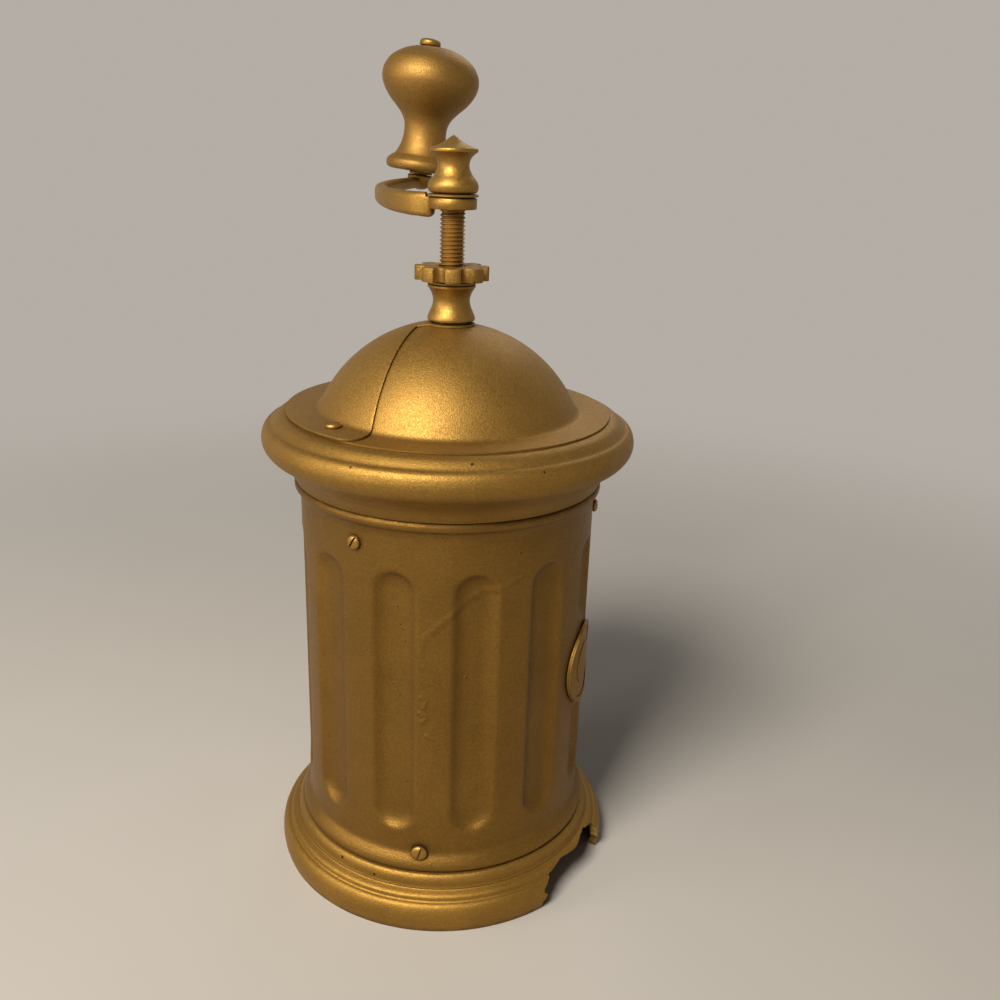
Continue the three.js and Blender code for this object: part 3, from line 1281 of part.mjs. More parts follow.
const bridgeShank = BRIDGE_THICKNESS + BRIDGE_SCREW_BITE;
[-1, 1].forEach((side, i) => {
  const screw = add(`bridge_screw_${i + 1}`, roundScrew(bridgeShank), steel());
  screw.position.set(side * bridgeScrewRadius, 0, bridgeTop - BRIDGE_THICKNESS - SEAT_GAP);
  screw.rotation.x = Math.PI;
});

// Sliding hatch with its screw knob and the nut under it
add('sliding_hatch', slidingHatch(), gold('#8f6c2d'));
const hatchTop = flangeTop + SLIDE_GAP + SHEET;
const hatchSpot = polar(hatchScrewRadius, HATCH_SCREW_AZIMUTH);
const hatchShank = SHEET + 3 * SEAT_GAP + HATCH_NUT_HEIGHT;
const hatchScrew = add('hatch_screw', roundScrew(hatchShank), gold('#a8823c'));
hatchScrew.position.set(hatchSpot.x, hatchSpot.y, hatchTop + SEAT_GAP);
const nutTop = flangeTop + SLIDE_GAP - SEAT_GAP;
const nutBore = SCREW_SHANK_RADIUS + HOLE_GAP;
const hatchNut = tube(HATCH_NUT_RADIUS, nutBore, nutTop - HATCH_NUT_HEIGHT, nutTop, NUT_SIDES);
add('hatch_nut', hatchNut.translate(hatchSpot.x, hatchSpot.y, 0), steel());

// Turning works
add('thrust_washer', thrustWasher(), steel());
add('adjusting_nut', starNut(), gold('#a07b38'));
add('spindle', spindleShaft(), gold('#9a7638'));
add('thrust_spring', thrustSpring(), steel());
const springWasher = tube(
  SPRING_WASHER_RADIUS,
  boreRadius,
  springWasherTop - SPRING_WASHER_THICKNESS,
  springWasherTop,
  SMALL_SIDES,
);
add('spring_washer', springWasher, steel());
const pinHalf = SPRING_PIN_LENGTH / 2;
const springPin = add('spring_pin', drum(SPRING_PIN_RADIUS, -pinHalf, pinHalf, SCREW_SIDES), steel());
springPin.position.z = springPinHeight;
springPin.rotation.y = Math.PI / 2;
add('burr_cone', burrCone(), steel());
const coneNutRadius = CONE_NUT_FLATS / 2 / Math.cos(Math.PI / NUT_SIDES);
const coneNutShape = new THREE.Shape(
  Array.from({ length: NUT_SIDES }, (_, i) => inPlan(coneNutRadius, (i * 360) / NUT_SIDES)),
);
const coneNutBore = new THREE.Path();
coneNutBore.absarc(0, 0, boreRadius, 0, Math.PI * 2);
coneNutShape.holes.push(coneNutBore);
const coneNutBottom = coneTop + SEAT_GAP;
add('cone_nut', prism(coneNutShape, coneNutBottom, coneNutBottom + CONE_NUT_HEIGHT), steel());
add('crank_arm', crankArm(), gold('#8b6a2e'));
const crankWasher = tube(
  CRANK_WASHER_RADIUS,
  STUD_RADIUS + HOLE_GAP,
  eyeTop + SEAT_GAP,
  crankWasherTop,
  SMALL_SIDES,
);
add('crank_washer', crankWasher, gold('#7f612b'));
add('finial_nut', finialNut(), gold('#a37e3a'));
add('knob_pin', leaned(knobPin()), gold('#8f7035'));
const knobWasher = tube(
  KNOB_WASHER_RADIUS,
  PIN_RADIUS + HOLE_GAP,
  SEAT_GAP,
  SEAT_GAP + KNOB_WASHER_THICKNESS,
  PIN_SIDES,
);
add('knob_washer', leaned(knobWasher), gold('#6f5628'));
const knobFoot = 2 * SEAT_GAP + KNOB_WASHER_THICKNESS;
add('knob', leaned(knobTurning().translate(0, 0, knobFoot)), paintedWood());

// Drawer
add('drawer_front', cut(common(shell, windowBlock(SLIDE_GAP)), drawerStudHole()), gold());
add('drawer_tray', drawerTray(), tin());
add('drawer_knob', drawerKnob(), gold('#a8823c'));

export default grinder;
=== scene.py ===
# A manual coffee grinder, painted all over in gold bronze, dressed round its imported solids.
import math

import bpy
from mathutils import Matrix, Vector


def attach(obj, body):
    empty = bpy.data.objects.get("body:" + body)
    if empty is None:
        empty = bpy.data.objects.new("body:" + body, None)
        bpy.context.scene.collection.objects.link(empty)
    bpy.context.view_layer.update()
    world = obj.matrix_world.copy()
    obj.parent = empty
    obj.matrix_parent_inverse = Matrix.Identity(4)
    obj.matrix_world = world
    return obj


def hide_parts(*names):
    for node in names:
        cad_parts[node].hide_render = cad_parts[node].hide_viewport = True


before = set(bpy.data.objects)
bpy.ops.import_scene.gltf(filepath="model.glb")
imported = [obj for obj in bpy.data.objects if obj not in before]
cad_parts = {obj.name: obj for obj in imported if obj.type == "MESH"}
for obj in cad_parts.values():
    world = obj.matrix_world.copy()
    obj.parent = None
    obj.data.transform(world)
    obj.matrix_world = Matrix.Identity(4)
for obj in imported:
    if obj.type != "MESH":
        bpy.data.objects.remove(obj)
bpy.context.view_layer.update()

MM = 0.001


# Camera and lamps
def aim_camera():
    """Puts the camera where the photograph was taken from."""
    pitch, roll, stand = math.radians(19.292), math.radians(1.972), (17.8, -322.8, 244.3)
    forward = Vector((0, math.cos(pitch), -math.sin(pitch)))
    across, up = Vector((1, 0, 0)), Vector((0, math.sin(pitch), math.cos(pitch)))
    side = across * math.cos(roll) + up * math.sin(roll)
    top = up * math.cos(roll) - across * math.sin(roll)
    data = bpy.data.cameras.new("camera")
    data.lens, data.sensor_width = 35.83, 36
    data.clip_start, data.clip_end = 0.01, 20
    camera = bpy.data.objects.new("camera", data)
    place = Matrix((side, top, -forward)).transposed().to_4x4()
    place.translation = Vector(stand) * MM
    camera.matrix_world = place
    bpy.context.collection.objects.link(camera)
    bpy.context.scene.camera = camera


def lamp(name, place, size, power, colour=(1, 1, 1)):
    """A square soft box that faces the middle of the grinder; place and size are in metres."""
    middle = Vector((0, 0, 0.13))
    data = bpy.data.lights.new(name, "AREA")
    data.size, data.energy, data.color = size, power, colour
    light = bpy.data.objects.new(name, data)
    light.location = place
    light.rotation_euler = (middle - Vector(place)).to_track_quat("-Z", "Y").to_euler()
    bpy.context.collection.objects.link(light)


# Materials
def linear(code):
    """An sRGB hex colour as linear RGBA."""
    parts = [int(code[i:i + 2], 16) / 255 for i in (1, 3, 5)]
    return (*[c / 12.92 if c <= 0.04045 else ((c + 0.055) / 1.055) ** 2.4 for c in parts], 1.0)


def put(tree, kind, inputs=None, **settings):
    """Adds a node with its settings, and links or sets its inputs.

    An input that is a node takes the first output that this node has in use.
    """
    made = tree.nodes.new(kind)
    for key, value in settings.items():
        setattr(made, key, value)
    for key, value in (inputs or {}).items():
        if isinstance(value, bpy.types.Node):
            value = next(output for output in value.outputs if output.enabled)
        if isinstance(value, bpy.types.NodeSocket):
            tree.links.new(value, made.inputs[key])
        else:
            made.inputs[key].default_value = value
    return made


def blank(name, **sockets):
    """A new material with its shader's constant sockets set."""
    material = bpy.data.materials.new(name)
    material.use_nodes = True
    shader = material.node_tree.nodes["Principled BSDF"]
    for key, value in sockets.items():
        shader.inputs[key.replace("_", " ")].default_value = value
    return material, material.node_tree, shader


def greatest(tree, values):
    """Greatest of several values, or nothing where there are none."""
    top = None
    for value in values:
        top = value if top is None else put(tree, "ShaderNodeMath", {0: top, 1: value}, operation="MAXIMUM")
    return top


def in_millimetres(tree):
    """Object coordinates in millimetres."""
    coords = put(tree, "ShaderNodeTexCoord")
    return put(tree, "ShaderNodeMapping", {"Vector": coords.outputs["Object"], "Scale": (1 / MM,) * 3})


def unrolled_wall(tree, here, radius):
    """A turned wall laid flat, in millimetres: the way round it from the front, and the height."""
    axes = put(tree, "ShaderNodeSeparateXYZ", {"Vector": here})
    front = put(tree, "ShaderNodeMath", {0: axes.outputs["Y"], 1: -1.0}, operation="MULTIPLY")
    angle = put(tree, "ShaderNodeMath", {0: axes.outputs["X"], 1: front}, operation="ARCTAN2")
    way = put(tree, "ShaderNodeMath", {0: angle, 1: radius}, operation="MULTIPLY")
    return put(tree, "ShaderNodeCombineXYZ", {"X": way, "Y": axes.outputs["Z"]})


def spot_mask(tree, here, centre, radius, soft):
    """One inside a small ball about a point, falling smoothly to nought over its soft share."""
    reach = put(tree, "ShaderNodeVectorMath", {0: here, 1: centre}, operation="DISTANCE")
    return put(tree, "ShaderNodeMapRange",
               {"Value": reach, "From Min": radius * (1 - soft), "From Max": radius,
                "To Min": 1.0, "To Max": 0.0}, interpolation_type="SMOOTHSTEP")


def run_mask(tree, here, start, end, width):
    """One along a line between two points, falling smoothly to nought beside it."""
    span = Vector(end) - Vector(start)
    from_start = put(tree, "ShaderNodeVectorMath", {0: here, 1: start}, operation="SUBTRACT")
    dot = put(tree, "ShaderNodeVectorMath", {0: from_start, 1: span}, operation="DOT_PRODUCT")
    share = put(tree, "ShaderNodeMath", {0: dot, 1: 1 / span.length_squared},
                operation="MULTIPLY", use_clamp=True)
    nearest = put(tree, "ShaderNodeVectorMath", {0: span, "Scale": share}, operation="SCALE")
    reach = put(tree, "ShaderNodeVectorMath", {0: from_start, 1: nearest}, operation="DISTANCE")
    return put(tree, "ShaderNodeMapRange", {"Value": reach, "From Max": width, "To Min": 1.0,
                                            "To Max": 0.0}, interpolation_type="SMOOTHSTEP")


def gold_paint(name, light, dark, rough=0.46, brushed=0.0, specks=0.5, shade_and_grime=0.8, peel=1.0,
               flake=0.35, reach=3.5, swept=0.85, unrolled=0, drops=(), runs=(), chips=()):
    """Gold bronze paint: metal flakes in a clear binder, sprayed over an older finish.

    The flakes, of the width given, sparkle finely and the thick coat has an orange peel. Creases within
    reach, where a spot is less open to the sky than swept, are darkened with painted shade mixed with dirt.
    Drops and runs are where the wet coat sagged, and chips show the dark ground under it. Their places are
    points in space, or (way round, height) on a wall whose radius is given as unrolled. All lengths are in
    millimetres.
    """
    material, tree, shader = blank(name, Metallic=0.88)
    here = in_millimetres(tree)
    where = unrolled_wall(tree, here, unrolled) if unrolled else here
    # Clouds 30 mm wide, where the spray lay thicker.
    clouds = put(tree, "ShaderNodeTexNoise", {"Vector": here, "Scale": 0.033, "Detail": 4,
                                              "Roughness": 0.6})
    tint = put(tree, "ShaderNodeMix", {"Factor": clouds, "A": linear(dark),
                                       "B": linear(light)}, data_type="RGBA")
    # Flakes, drawn at 0.35 mm because their real 0.05 mm is finer than a pixel.
    flakes = put(tree, "ShaderNodeTexVoronoi", {"Vector": here, "Scale": 1 / flake})
    spark = put(tree, "ShaderNodeSeparateColor", {"Color": flakes.outputs["Color"]})
    shine = put(tree, "ShaderNodeMapRange", {"Value": spark.outputs["Red"], "To Min": 0.86, "To Max": 1.14})
    lit = put(tree, "ShaderNodeMix", {"Factor": 1.0, "A": tint, "B": shine},
              data_type="RGBA", blend_type="MULTIPLY")
    # Streaks 0.4 mm high and some 8 mm long that run round the piece, from turning and wiping.
    streak_place = put(tree, "ShaderNodeMapping", {"Vector": here, "Scale": (0.12, 0.12, 2.4)})
    streaks = put(tree, "ShaderNodeTexNoise", {"Vector": streak_place, "Scale": 1.0,
                                               "Detail": 2, "Roughness": 0.6})
    wiped = put(tree, "ShaderNodeMapRange",
                {"Value": streaks, "From Min": 0.3, "From Max": 0.7,
                 "To Min": 1 - 0.07 * brushed, "To Max": 1 + 0.05 * brushed})
    wiped_tint = put(tree, "ShaderNodeMix", {"Factor": 1.0, "A": lit, "B": wiped},
                     data_type="RGBA", blend_type="MULTIPLY")
    # Small pits about 12 mm apart where dust lay under the coat.
    pits = put(tree, "ShaderNodeTexVoronoi", {"Vector": here, "Scale": 0.085})
    pit = put(tree, "ShaderNodeMapRange", {"Value": pits, "From Min": 0.02,
                                           "From Max": 0.045, "To Min": specks, "To Max": 0.0})
    bare = [spot_mask(tree, where, place, size, soft=0.4) for place, size in chips]
    gone = greatest(tree, [pit, *bare])
    pitted = put(tree, "ShaderNodeMix", {"Factor": gone, "A": wiped_tint,
                                         "B": linear("#3d2c14")}, data_type="RGBA")
    # Painted shade mixed with dirt, darkening the creases that ambient occlusion finds, broken up by a 5 mm
    # noise.
    crease = put(tree, "ShaderNodeAmbientOcclusion", {"Distance": reach * MM}, samples=8)
    shade_patches = put(tree, "ShaderNodeTexNoise", {"Vector": here, "Scale": 0.22, "Detail": 4})
    depth = put(tree, "ShaderNodeMapRange", {"Value": crease.outputs["AO"], "From Min": swept - 0.6,
                                             "From Max": swept, "To Min": shade_and_grime, "To Max": 0.0})
    patchy_shade_and_dirt = put(tree, "ShaderNodeMath", {0: depth, 1: shade_patches}, operation="MULTIPLY")
    shade_and_dirt = put(tree, "ShaderNodeMath", {0: patchy_shade_and_dirt, 1: 1.5}, operation="MULTIPLY", use_clamp=True)
    # The creases' painted shade and dirt take this dark brown, and also dull the coat.
    shaded_and_dirty = put(tree, "ShaderNodeMix", {"Factor": shade_and_dirt, "A": pitted,
                                        "B": linear("#4a3517")}, data_type="RGBA")
    tree.links.new(shaded_and_dirty.outputs["Result"], shader.inputs["Base Color"])
    gloss = put(tree, "ShaderNodeMapRange", {"Value": spark.outputs["Green"], "To Min": rough - 0.07,
                                             "To Max": rough + 0.09})
    dull = put(tree, "ShaderNodeMath", {0: shade_and_dirt, 1: 0.3, 2: gloss}, operation="MULTIPLY_ADD")
    tree.links.new(dull.outputs["Value"], shader.inputs["Roughness"])
    # A sandy orange peel 0.55 mm wide, the flakes' tilt and the pits.
    skin = put(tree, "ShaderNodeTexNoise", {"Vector": here, "Scale": 1.8, "Detail": 3, "Roughness": 0.7})
    peeled = put(tree, "ShaderNodeBump", {"Height": skin, "Strength": 1.0, "Distance": 0.1 * peel * MM})
    ridged = put(tree, "ShaderNodeBump", {"Height": streaks, "Strength": 0.6 * brushed,
                                          "Distance": 0.06 * MM, "Normal": peeled})
    glitter = put(tree, "ShaderNodeBump", {"Height": spark.outputs["Blue"], "Strength": 0.35,
                                           "Distance": 0.02 * MM, "Normal": ridged})
    coat = put(tree, "ShaderNodeBump", {"Height": pit, "Strength": 0.8, "Distance": 0.2 * MM,
                                        "Normal": glitter}, invert=True)
    thick = greatest(tree, [*[spot_mask(tree, where, place, size, soft=0.95) for place, size in drops],
                            *[run_mask(tree, where, start, end, width) for start, end, width in runs]])
    if thick:
        # The sagged coat stands a quarter of a millimetre proud.
        coat = put(tree, "ShaderNodeBump", {"Height": thick, "Strength": 1.0, "Distance": 0.25 * MM,
                                            "Normal": coat})
    tree.links.new(coat.outputs["Normal"], shader.inputs["Normal"])
    return material


def bare_metal(name, light, dark, rough, grain, height):
    """Bare metal with a cast or turned grain; grain is its width and height its depth in millimetres."""
    material, tree, shader = blank(name, Metallic=1.0)
    here = in_millimetres(tree)
    clouds = put(tree, "ShaderNodeTexNoise", {"Vector": here, "Scale": 0.09, "Detail": 5,
                                              "Roughness": 0.65})
    tint = put(tree, "ShaderNodeMix", {"Factor": clouds, "A": linear(dark),
                                       "B": linear(light)}, data_type="RGBA")
    tree.links.new(tint.outputs["Result"], shader.inputs["Base Color"])
    grit = put(tree, "ShaderNodeTexNoise", {"Vector": here, "Scale": 1 / grain, "Detail": 4,
                                            "Roughness": 0.6})
    gloss = put(tree, "ShaderNodeMapRange", {"Value": grit, "To Min": rough - 0.12, "To Max": rough + 0.14})
    tree.links.new(gloss.outputs["Result"], shader.inputs["Roughness"])
    bump = put(tree, "ShaderNodeBump", {"Height": grit, "Strength": 0.8, "Distance": height * MM})
    tree.links.new(bump.outputs["Normal"], shader.inputs["Normal"])
    return material


# Modelling tools
def only(piece):
    """Selects one piece alone and makes it active."""
    bpy.ops.object.select_all(action="DESELECT")
    piece.select_set(True)
    bpy.context.view_layer.objects.active = piece


def begin(name, add, **settings):
    """Adds a primitive as the start of a piece and opens it in edit mode, selected all over."""
    bpy.ops.object.select_all(action="DESELECT")
    add(**settings)
    piece = bpy.context.object
    piece.name = piece.data.name = name
    bpy.ops.object.mode_set(mode="EDIT")
    bpy.ops.mesh.select_all(action="SELECT")
    return piece


def close(piece):
    """Merges doubles, turns the faces outwards, leaves edit mode and applies the place."""
    bpy.ops.mesh.select_all(action="SELECT")
    bpy.ops.mesh.remove_doubles(threshold=0.002 * MM)
    bpy.ops.mesh.normals_make_consistent(inside=False)
    bpy.ops.object.mode_set(mode="OBJECT")
    only(piece)
    bpy.ops.object.transform_apply(location=True, rotation=True, scale=True)
    return piece


def spun(name, outline, sides=144):
    """Turns an outline of (radius, height) points in millimetres about the spindle's axis."""
    piece = begin(name, bpy.ops.mesh.primitive_plane_add, size=MM)
    bpy.ops.mesh.merge(type="CENTER")
    points = [Vector((r * MM, 0, z * MM)) for r, z in outline]
    bpy.ops.transform.translate(value=points[0])
    for before, after in zip(points, points[1:]):
        bpy.ops.mesh.extrude_vertices_move(TRANSFORM_OT_translate={"value": after - before})
    bpy.ops.mesh.select_all(action="SELECT")
    bpy.ops.mesh.spin(steps=sides, angle=math.tau, center=(0, 0, 0), axis=(0, 0, 1))
    return close(piece)


def ring(name, inner, outer, low, high, sides):
    """A plain turned ring, or a drum where its inner radius is nought."""
    outline = [(inner, low), (outer, low), (outer, high), (inner, high)]
    return spun(name, [*outline, outline[0]] if inner else outline, sides)


def washer(name, hole, radius, low, high, edge, sides=96):
    """A flat ring whose outer edge is broken by (across, below, above)."""
    across, below, above = edge
    rim = radius - across
    return spun(name, [(hole, low), (rim, low), (radius, low + below), (radius, high - above), (rim, high),
                       (hole, high), (hole, low)], sides)


def prism(name, plan, low, high):
    """Raises a plan outline of (x, y) points in millimetres between two heights."""
    piece = begin(name, bpy.ops.mesh.primitive_circle_add, vertices=len(plan), radius=MM, fill_type="NGON")
    bpy.ops.object.mode_set(mode="OBJECT")
    for vertex, (x, y) in zip(piece.data.vertices, plan):
        vertex.co = (x * MM, y * MM, low * MM)
    bpy.ops.object.mode_set(mode="EDIT")
    bpy.ops.mesh.select_all(action="SELECT")
    bpy.ops.mesh.extrude_region_move(TRANSFORM_OT_translate={"value": (0, 0, (high - low) * MM)})
    return close(piece)


def block(name, low, high):
    """A box between two corners in millimetres, as a cutting tool or the start of a piece."""
    size = [(b - a) * MM for a, b in zip(low, high)]
    middle = [(a + b) / 2 * MM for a, b in zip(low, high)]
    piece = begin(name, bpy.ops.mesh.primitive_cube_add, size=1)
    bpy.ops.transform.resize(value=size)
    bpy.ops.transform.translate(value=middle)
    return close(piece)


def apply(piece, kind, **settings):
    """Adds a modifier and applies it."""
    only(piece)
    modifier = piece.modifiers.new(kind.lower(), kind)
    for key, value in settings.items():
        setattr(modifier, key, value)
    bpy.ops.object.modifier_apply(modifier=modifier.name)


def soften(piece, width, segments, angle=50):
    """Rounds the edges that are sharper than an angle in degrees; width is in millimetres."""
    apply(piece, "BEVEL", width=width * MM, segments=segments, limit_method="ANGLE",
          angle_limit=math.radians(angle))


def carve(piece, tool, operation="DIFFERENCE"):
    """Cuts or keeps what a tool shape covers, and takes the tool away."""
    apply(piece, "BOOLEAN", operation=operation, solver="EXACT", object=tool, material_mode="TRANSFER")
    bpy.data.objects.remove(tool)


def unite(piece, *others):
    """Joins other pieces into one object."""
    only(piece)
    for other in others:
        other.select_set(True)
    bpy.ops.object.join()
    return piece


def moved(piece, matrix):
    """Moves a piece's mesh, so that its object stays at the origin."""
    piece.data.transform(matrix)
    return piece


def copied(piece, name):
    """A copy of a piece with its own mesh."""
    twin = bpy.data.objects.new(name, piece.data.copy())
    bpy.context.collection.objects.link(twin)
    return twin


def finished(piece, body, material, nodes=(), smooth=32):
    """Smooths a piece, gives it its finish, and lets it ride on its body."""
    only(piece)
    bpy.ops.object.shade_smooth_by_angle(angle=math.radians(smooth))
    if not any(piece.data.materials):
        piece.data.materials.clear()
        piece.data.materials.append(material)
    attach(piece, body)
    if nodes:
        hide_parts(*nodes)
    return piece


def flowing(points, steps=5):
    """Points of a smooth line through (radius, height) points."""
    ends = [points[0], *points, points[-1]]
    line = []
    for i in range(1, len(ends) - 2):
        a, b, c, d = (Vector(p) for p in ends[i - 1:i + 3])
        for k in range(steps):
            t = k / steps
            square, cube = 2 * a - 5 * b + 4 * c - d, 3 * b - a - 3 * c + d
            p = 0.5 * (2 * b + (c - a) * t + square * t ** 2 + cube * t ** 3)
            line.append((p.x, p.y))
    return line + [tuple(points[-1])]


def evenly(line, pieces):
    """The same line with points at equal distances."""
    spans = [math.dist(a, b) for a, b in zip(line, line[1:])]
    points = [line[0]]
    for i in range(1, pieces):
        left = sum(spans) * i / pieces
        k = 0
        while left > spans[k]:
            left -= spans[k]
            k += 1
        a, b = Vector(line[k]), Vector(line[k + 1])
        points.append(tuple(a + (b - a) * left / spans[k]))
    return [*points, tuple(line[-1])]


def compass(azimuth):
    """Unit direction at an azimuth in degrees: 0 points along -Y and 90 along +X."""
    a = math.radians(azimuth)
    return Vector((math.sin(a), -math.cos(a), 0))


def turned_to(azimuth):
    """Turns what faces the front to an azimuth."""
    return Matrix.Rotation(math.radians(azimuth), 4, "Z")


def laid_out():
    """Lays +Z down, so that it points outwards at the front."""
    return Matrix.Rotation(math.pi / 2, 4, "X")


# Sizes in millimetres: radii from the spindle's axis, heights from the table, azimuths in degrees
SEAT_GAP, SLIDE_GAP = 0.3, 0.5
RING_SIDES, SMALL_SIDES = 216, 96

FOOT_HIGH, FOOT_SHELF_LOW, TEAR_AZIMUTH = 12.75, 9.8, 58.25
BODY_R, BODY_WALL, BODY_LOW, BODY_HIGH = 49.5, 1.0, 17.6, 141.0
BASE_LOW, BASE_HIGH = 12.85, BODY_LOW - SEAT_GAP
SPIGOT_R, SPIGOT_WALL, SPIGOT_HIGH = 48.2, 3.7, 30.0

FLUTE_AZIMUTH, FLUTE_STEP, FLUTE_HALF, FLUTE_DEPTH = 14, 30, 7.2, 2.6
FLUTE_LOW, FLUTE_HIGH = 31.4, 123.9
MEDAL_AZIMUTH, MEDAL_HEIGHT, MEDAL_R = 75, 77.65, 14.5
WINDOW_HALF, WINDOW_LOW, WINDOW_HIGH = 27, 33.3, 66.7
DRAWER_HEIGHT = (WINDOW_LOW + WINDOW_HIGH) / 2

CORNICE_LOW, COVE_HIGH, TORUS_LOW, CORNICE_HIGH = 141.15, 149.37, 149.45, 162.7
CORNICE_SEAT_R = 51.0
DOME_Z, DOME_R, DOME_HOLE, FLANGE_HIGH, FILLET = 145.4, 46.1, 6, 163.4, 3.0
SHEET, SLIDE = 0.6, 0.1
FIXED_FLANGE_R, HATCH_FLANGE_R, MOUTH_R = 52.9, 53.5, 50
HATCH_MIDDLE, HATCH_SIDE, HATCH_EDGE, HATCH_CORNER, HATCH_OVERLAP = -97, -17.5, 9.1, 5, 4.5

# The stack on the spindle, from the neck up to the finial
SPINDLE_R, SPINDLE_HOLE_R, THREAD_PITCH = 4, 4.3, 1.25
STUD_R, STUD_HOLE_R = 2.5, 2.8
NECK_LOW, NECK_SPIGOT = 192.62, 10
NECK_HIGH = NECK_LOW + 11.1
THRUST_LOW = NECK_HIGH + SEAT_GAP
THRUST_HIGH = THRUST_LOW + 0.9
NUT_LOW = THRUST_HIGH + SEAT_GAP
NUT_HIGH = NUT_LOW + 4.4
SHAFT_HIGH = 226.62
EYE_LOW = SHAFT_HIGH + SEAT_GAP
EYE_HIGH = EYE_LOW + 3.4
WASHER_LOW = EYE_HIGH + SEAT_GAP
WASHER_HIGH = WASHER_LOW + 0.8
FINIAL_LOW = WASHER_HIGH + SEAT_GAP

# The crank arm stands on edge beside the eye, and the knob's axis leans to the right
ARM_HIGH, ARM_HEIGHT, ARM_HALF, ARM_REACH = FINIAL_LOW, 7.6, 2.25, 90
KNOB_FOOT, KNOB_LEAN, KNOB_RISE, PIN_R, PIN_HOLE_R = (-17.9, ARM_REACH, 234.568), 6, 1.4, 2.4, 2.7


def foot_ring():
    """Hollow torus moulding whose rim is broken away at the front right."""
    outer = flowing([(59.2, 0), (59.7, 1.6), (59.95, 3.4), (60.0, 5.2), (59.75, 6.9), (59.3, 8.2),
                     (58.7, 9.2), (58.0, 9.75), (57.4, 9.95), (57.0, 10.3), (56.85, 10.8), (56.6, 11.4),
                     (56.0, 11.9), (55.2, 12.25), (54.5, 12.55), (54.3, FOOT_HIGH)], 4)
    under = [(47, FOOT_HIGH), (47, FOOT_SHELF_LOW), (54.6, FOOT_SHELF_LOW)]
    inner = flowing([(55.6, 9.0), (56.8, 7.4), (57.2, 4.6), (56.9, 1.8), (56.2, 0)], 3)
    piece = spun("foot_ring_moulding", [*outer, *under, *inner, outer[0]], RING_SIDES)
    # The ragged edge of the break, as (way along, height) on the ring's front.
    ragged = [(-18.7, -1), (-20.2, 1.2), (-20.3, 2.6), (-18.9, 3.8), (-18.4, 5.1), (-19.8, 6.4),
              (-19.4, 7.6), (-17.8, 8.6), (-16.3, 9.6), (-14.0, 10.5), (-10.9, 11.4), (-7.2, 12.1),
              (-2.8, 11.6), (1.8, 11.2), (6.2, 11.8), (10.9, 12.2), (14.9, 11.4), (17.5, 10.6),
              (18.9, 9.3), (19.2, 8.2), (18.5, 6.8), (18.1, 5.4), (19.4, 4.2), (20.2, 2.9), (19.7, 1.0),
              (19.4, -1)]
    inmost, outmost, grain = 50, 70, 0.22
    tool = prism("tear", ragged, inmost, outmost)
    apply(tool, "SUBSURF", subdivision_type="SIMPLE", levels=2)
    bpy.ops.object.mode_set(mode="EDIT")
    bpy.ops.mesh.select_all(action="SELECT")
    # The draw follows the points' order, which is not the same each run until they are sorted.
    bpy.ops.mesh.sort_elements(type="CURSOR_DISTANCE", elements={"VERT"})
    bpy.ops.transform.vertex_random(offset=grain * MM, seed=4)
    bpy.ops.object.mode_set(mode="OBJECT")
    apply(tool, "TRIANGULATE", quad_method="SHORTEST_DIAGONAL")
    moved(tool, turned_to(TEAR_AZIMUTH) @ laid_out())
    tool.data.materials.append(torn_gold)
    piece.data.materials.append(cast_gold)
    carve(piece, tool)
    finished(piece, "housing", cast_gold, ["foot_ring"])


def base_casting():
    """Stepped moulding over the foot, with the spigot that holds the column."""
    outer = flowing([(54.1, BASE_LOW), (53.85, 13.5), (53.75, 14.3), (53.65, 15.1), (53.4, 15.9),
                     (53.0, 16.6), (52.5, 17.1), (51.9, BASE_HIGH)])
    bore_r = SPIGOT_R - SPIGOT_WALL
    spigot = [(SPIGOT_R, BASE_HIGH), (SPIGOT_R, SPIGOT_HIGH), (bore_r, SPIGOT_HIGH), (bore_r, BASE_LOW)]
    piece = spun("base_moulding", [*outer, *spigot, outer[0]], RING_SIDES)
    finished(piece, "housing", cast_gold_upper, ["base_casting"])


def flute_depth(share):
    """How deep a flute is pressed, from one to nought, at a share of the way from its middle to its lip."""
    start, end, power = 0.86, 1.1, 3.0
    if share >= end:
        return 0.0
    if share <= start:
        return 1 - share ** power
    # A cubic rounds the lip between start and end.
    t = (share - start) / (end - start)
    level, slope = 1 - start ** power, -power * start ** (power - 1) * (end - start)
    return (2 * t ** 3 - 3 * t ** 2 + 1) * level + (t ** 3 - 2 * t ** 2 + t) * slope


def flute_weight(x, y, z):
    """Share of the full flute depth at a point of the column."""
    azimuth = math.degrees(math.atan2(x, -y))
    half_step = FLUTE_STEP / 2
    across = math.radians((azimuth - FLUTE_AZIMUTH + half_step) % FLUTE_STEP - half_step) * BODY_R
    beyond = max(0, FLUTE_LOW + FLUTE_HALF - z, z - FLUTE_HIGH + FLUTE_HALF)
    # The flute under the medallion fades out round it.
    bare, fade = MEDAL_R + 0.5, 4
    from_medal = math.hypot(math.radians(azimuth - MEDAL_AZIMUTH) * BODY_R, z - MEDAL_HEIGHT)
    return flute_depth(math.hypot(across, beyond) / FLUTE_HALF) * min(1, max(0, (from_medal - bare) / fade))


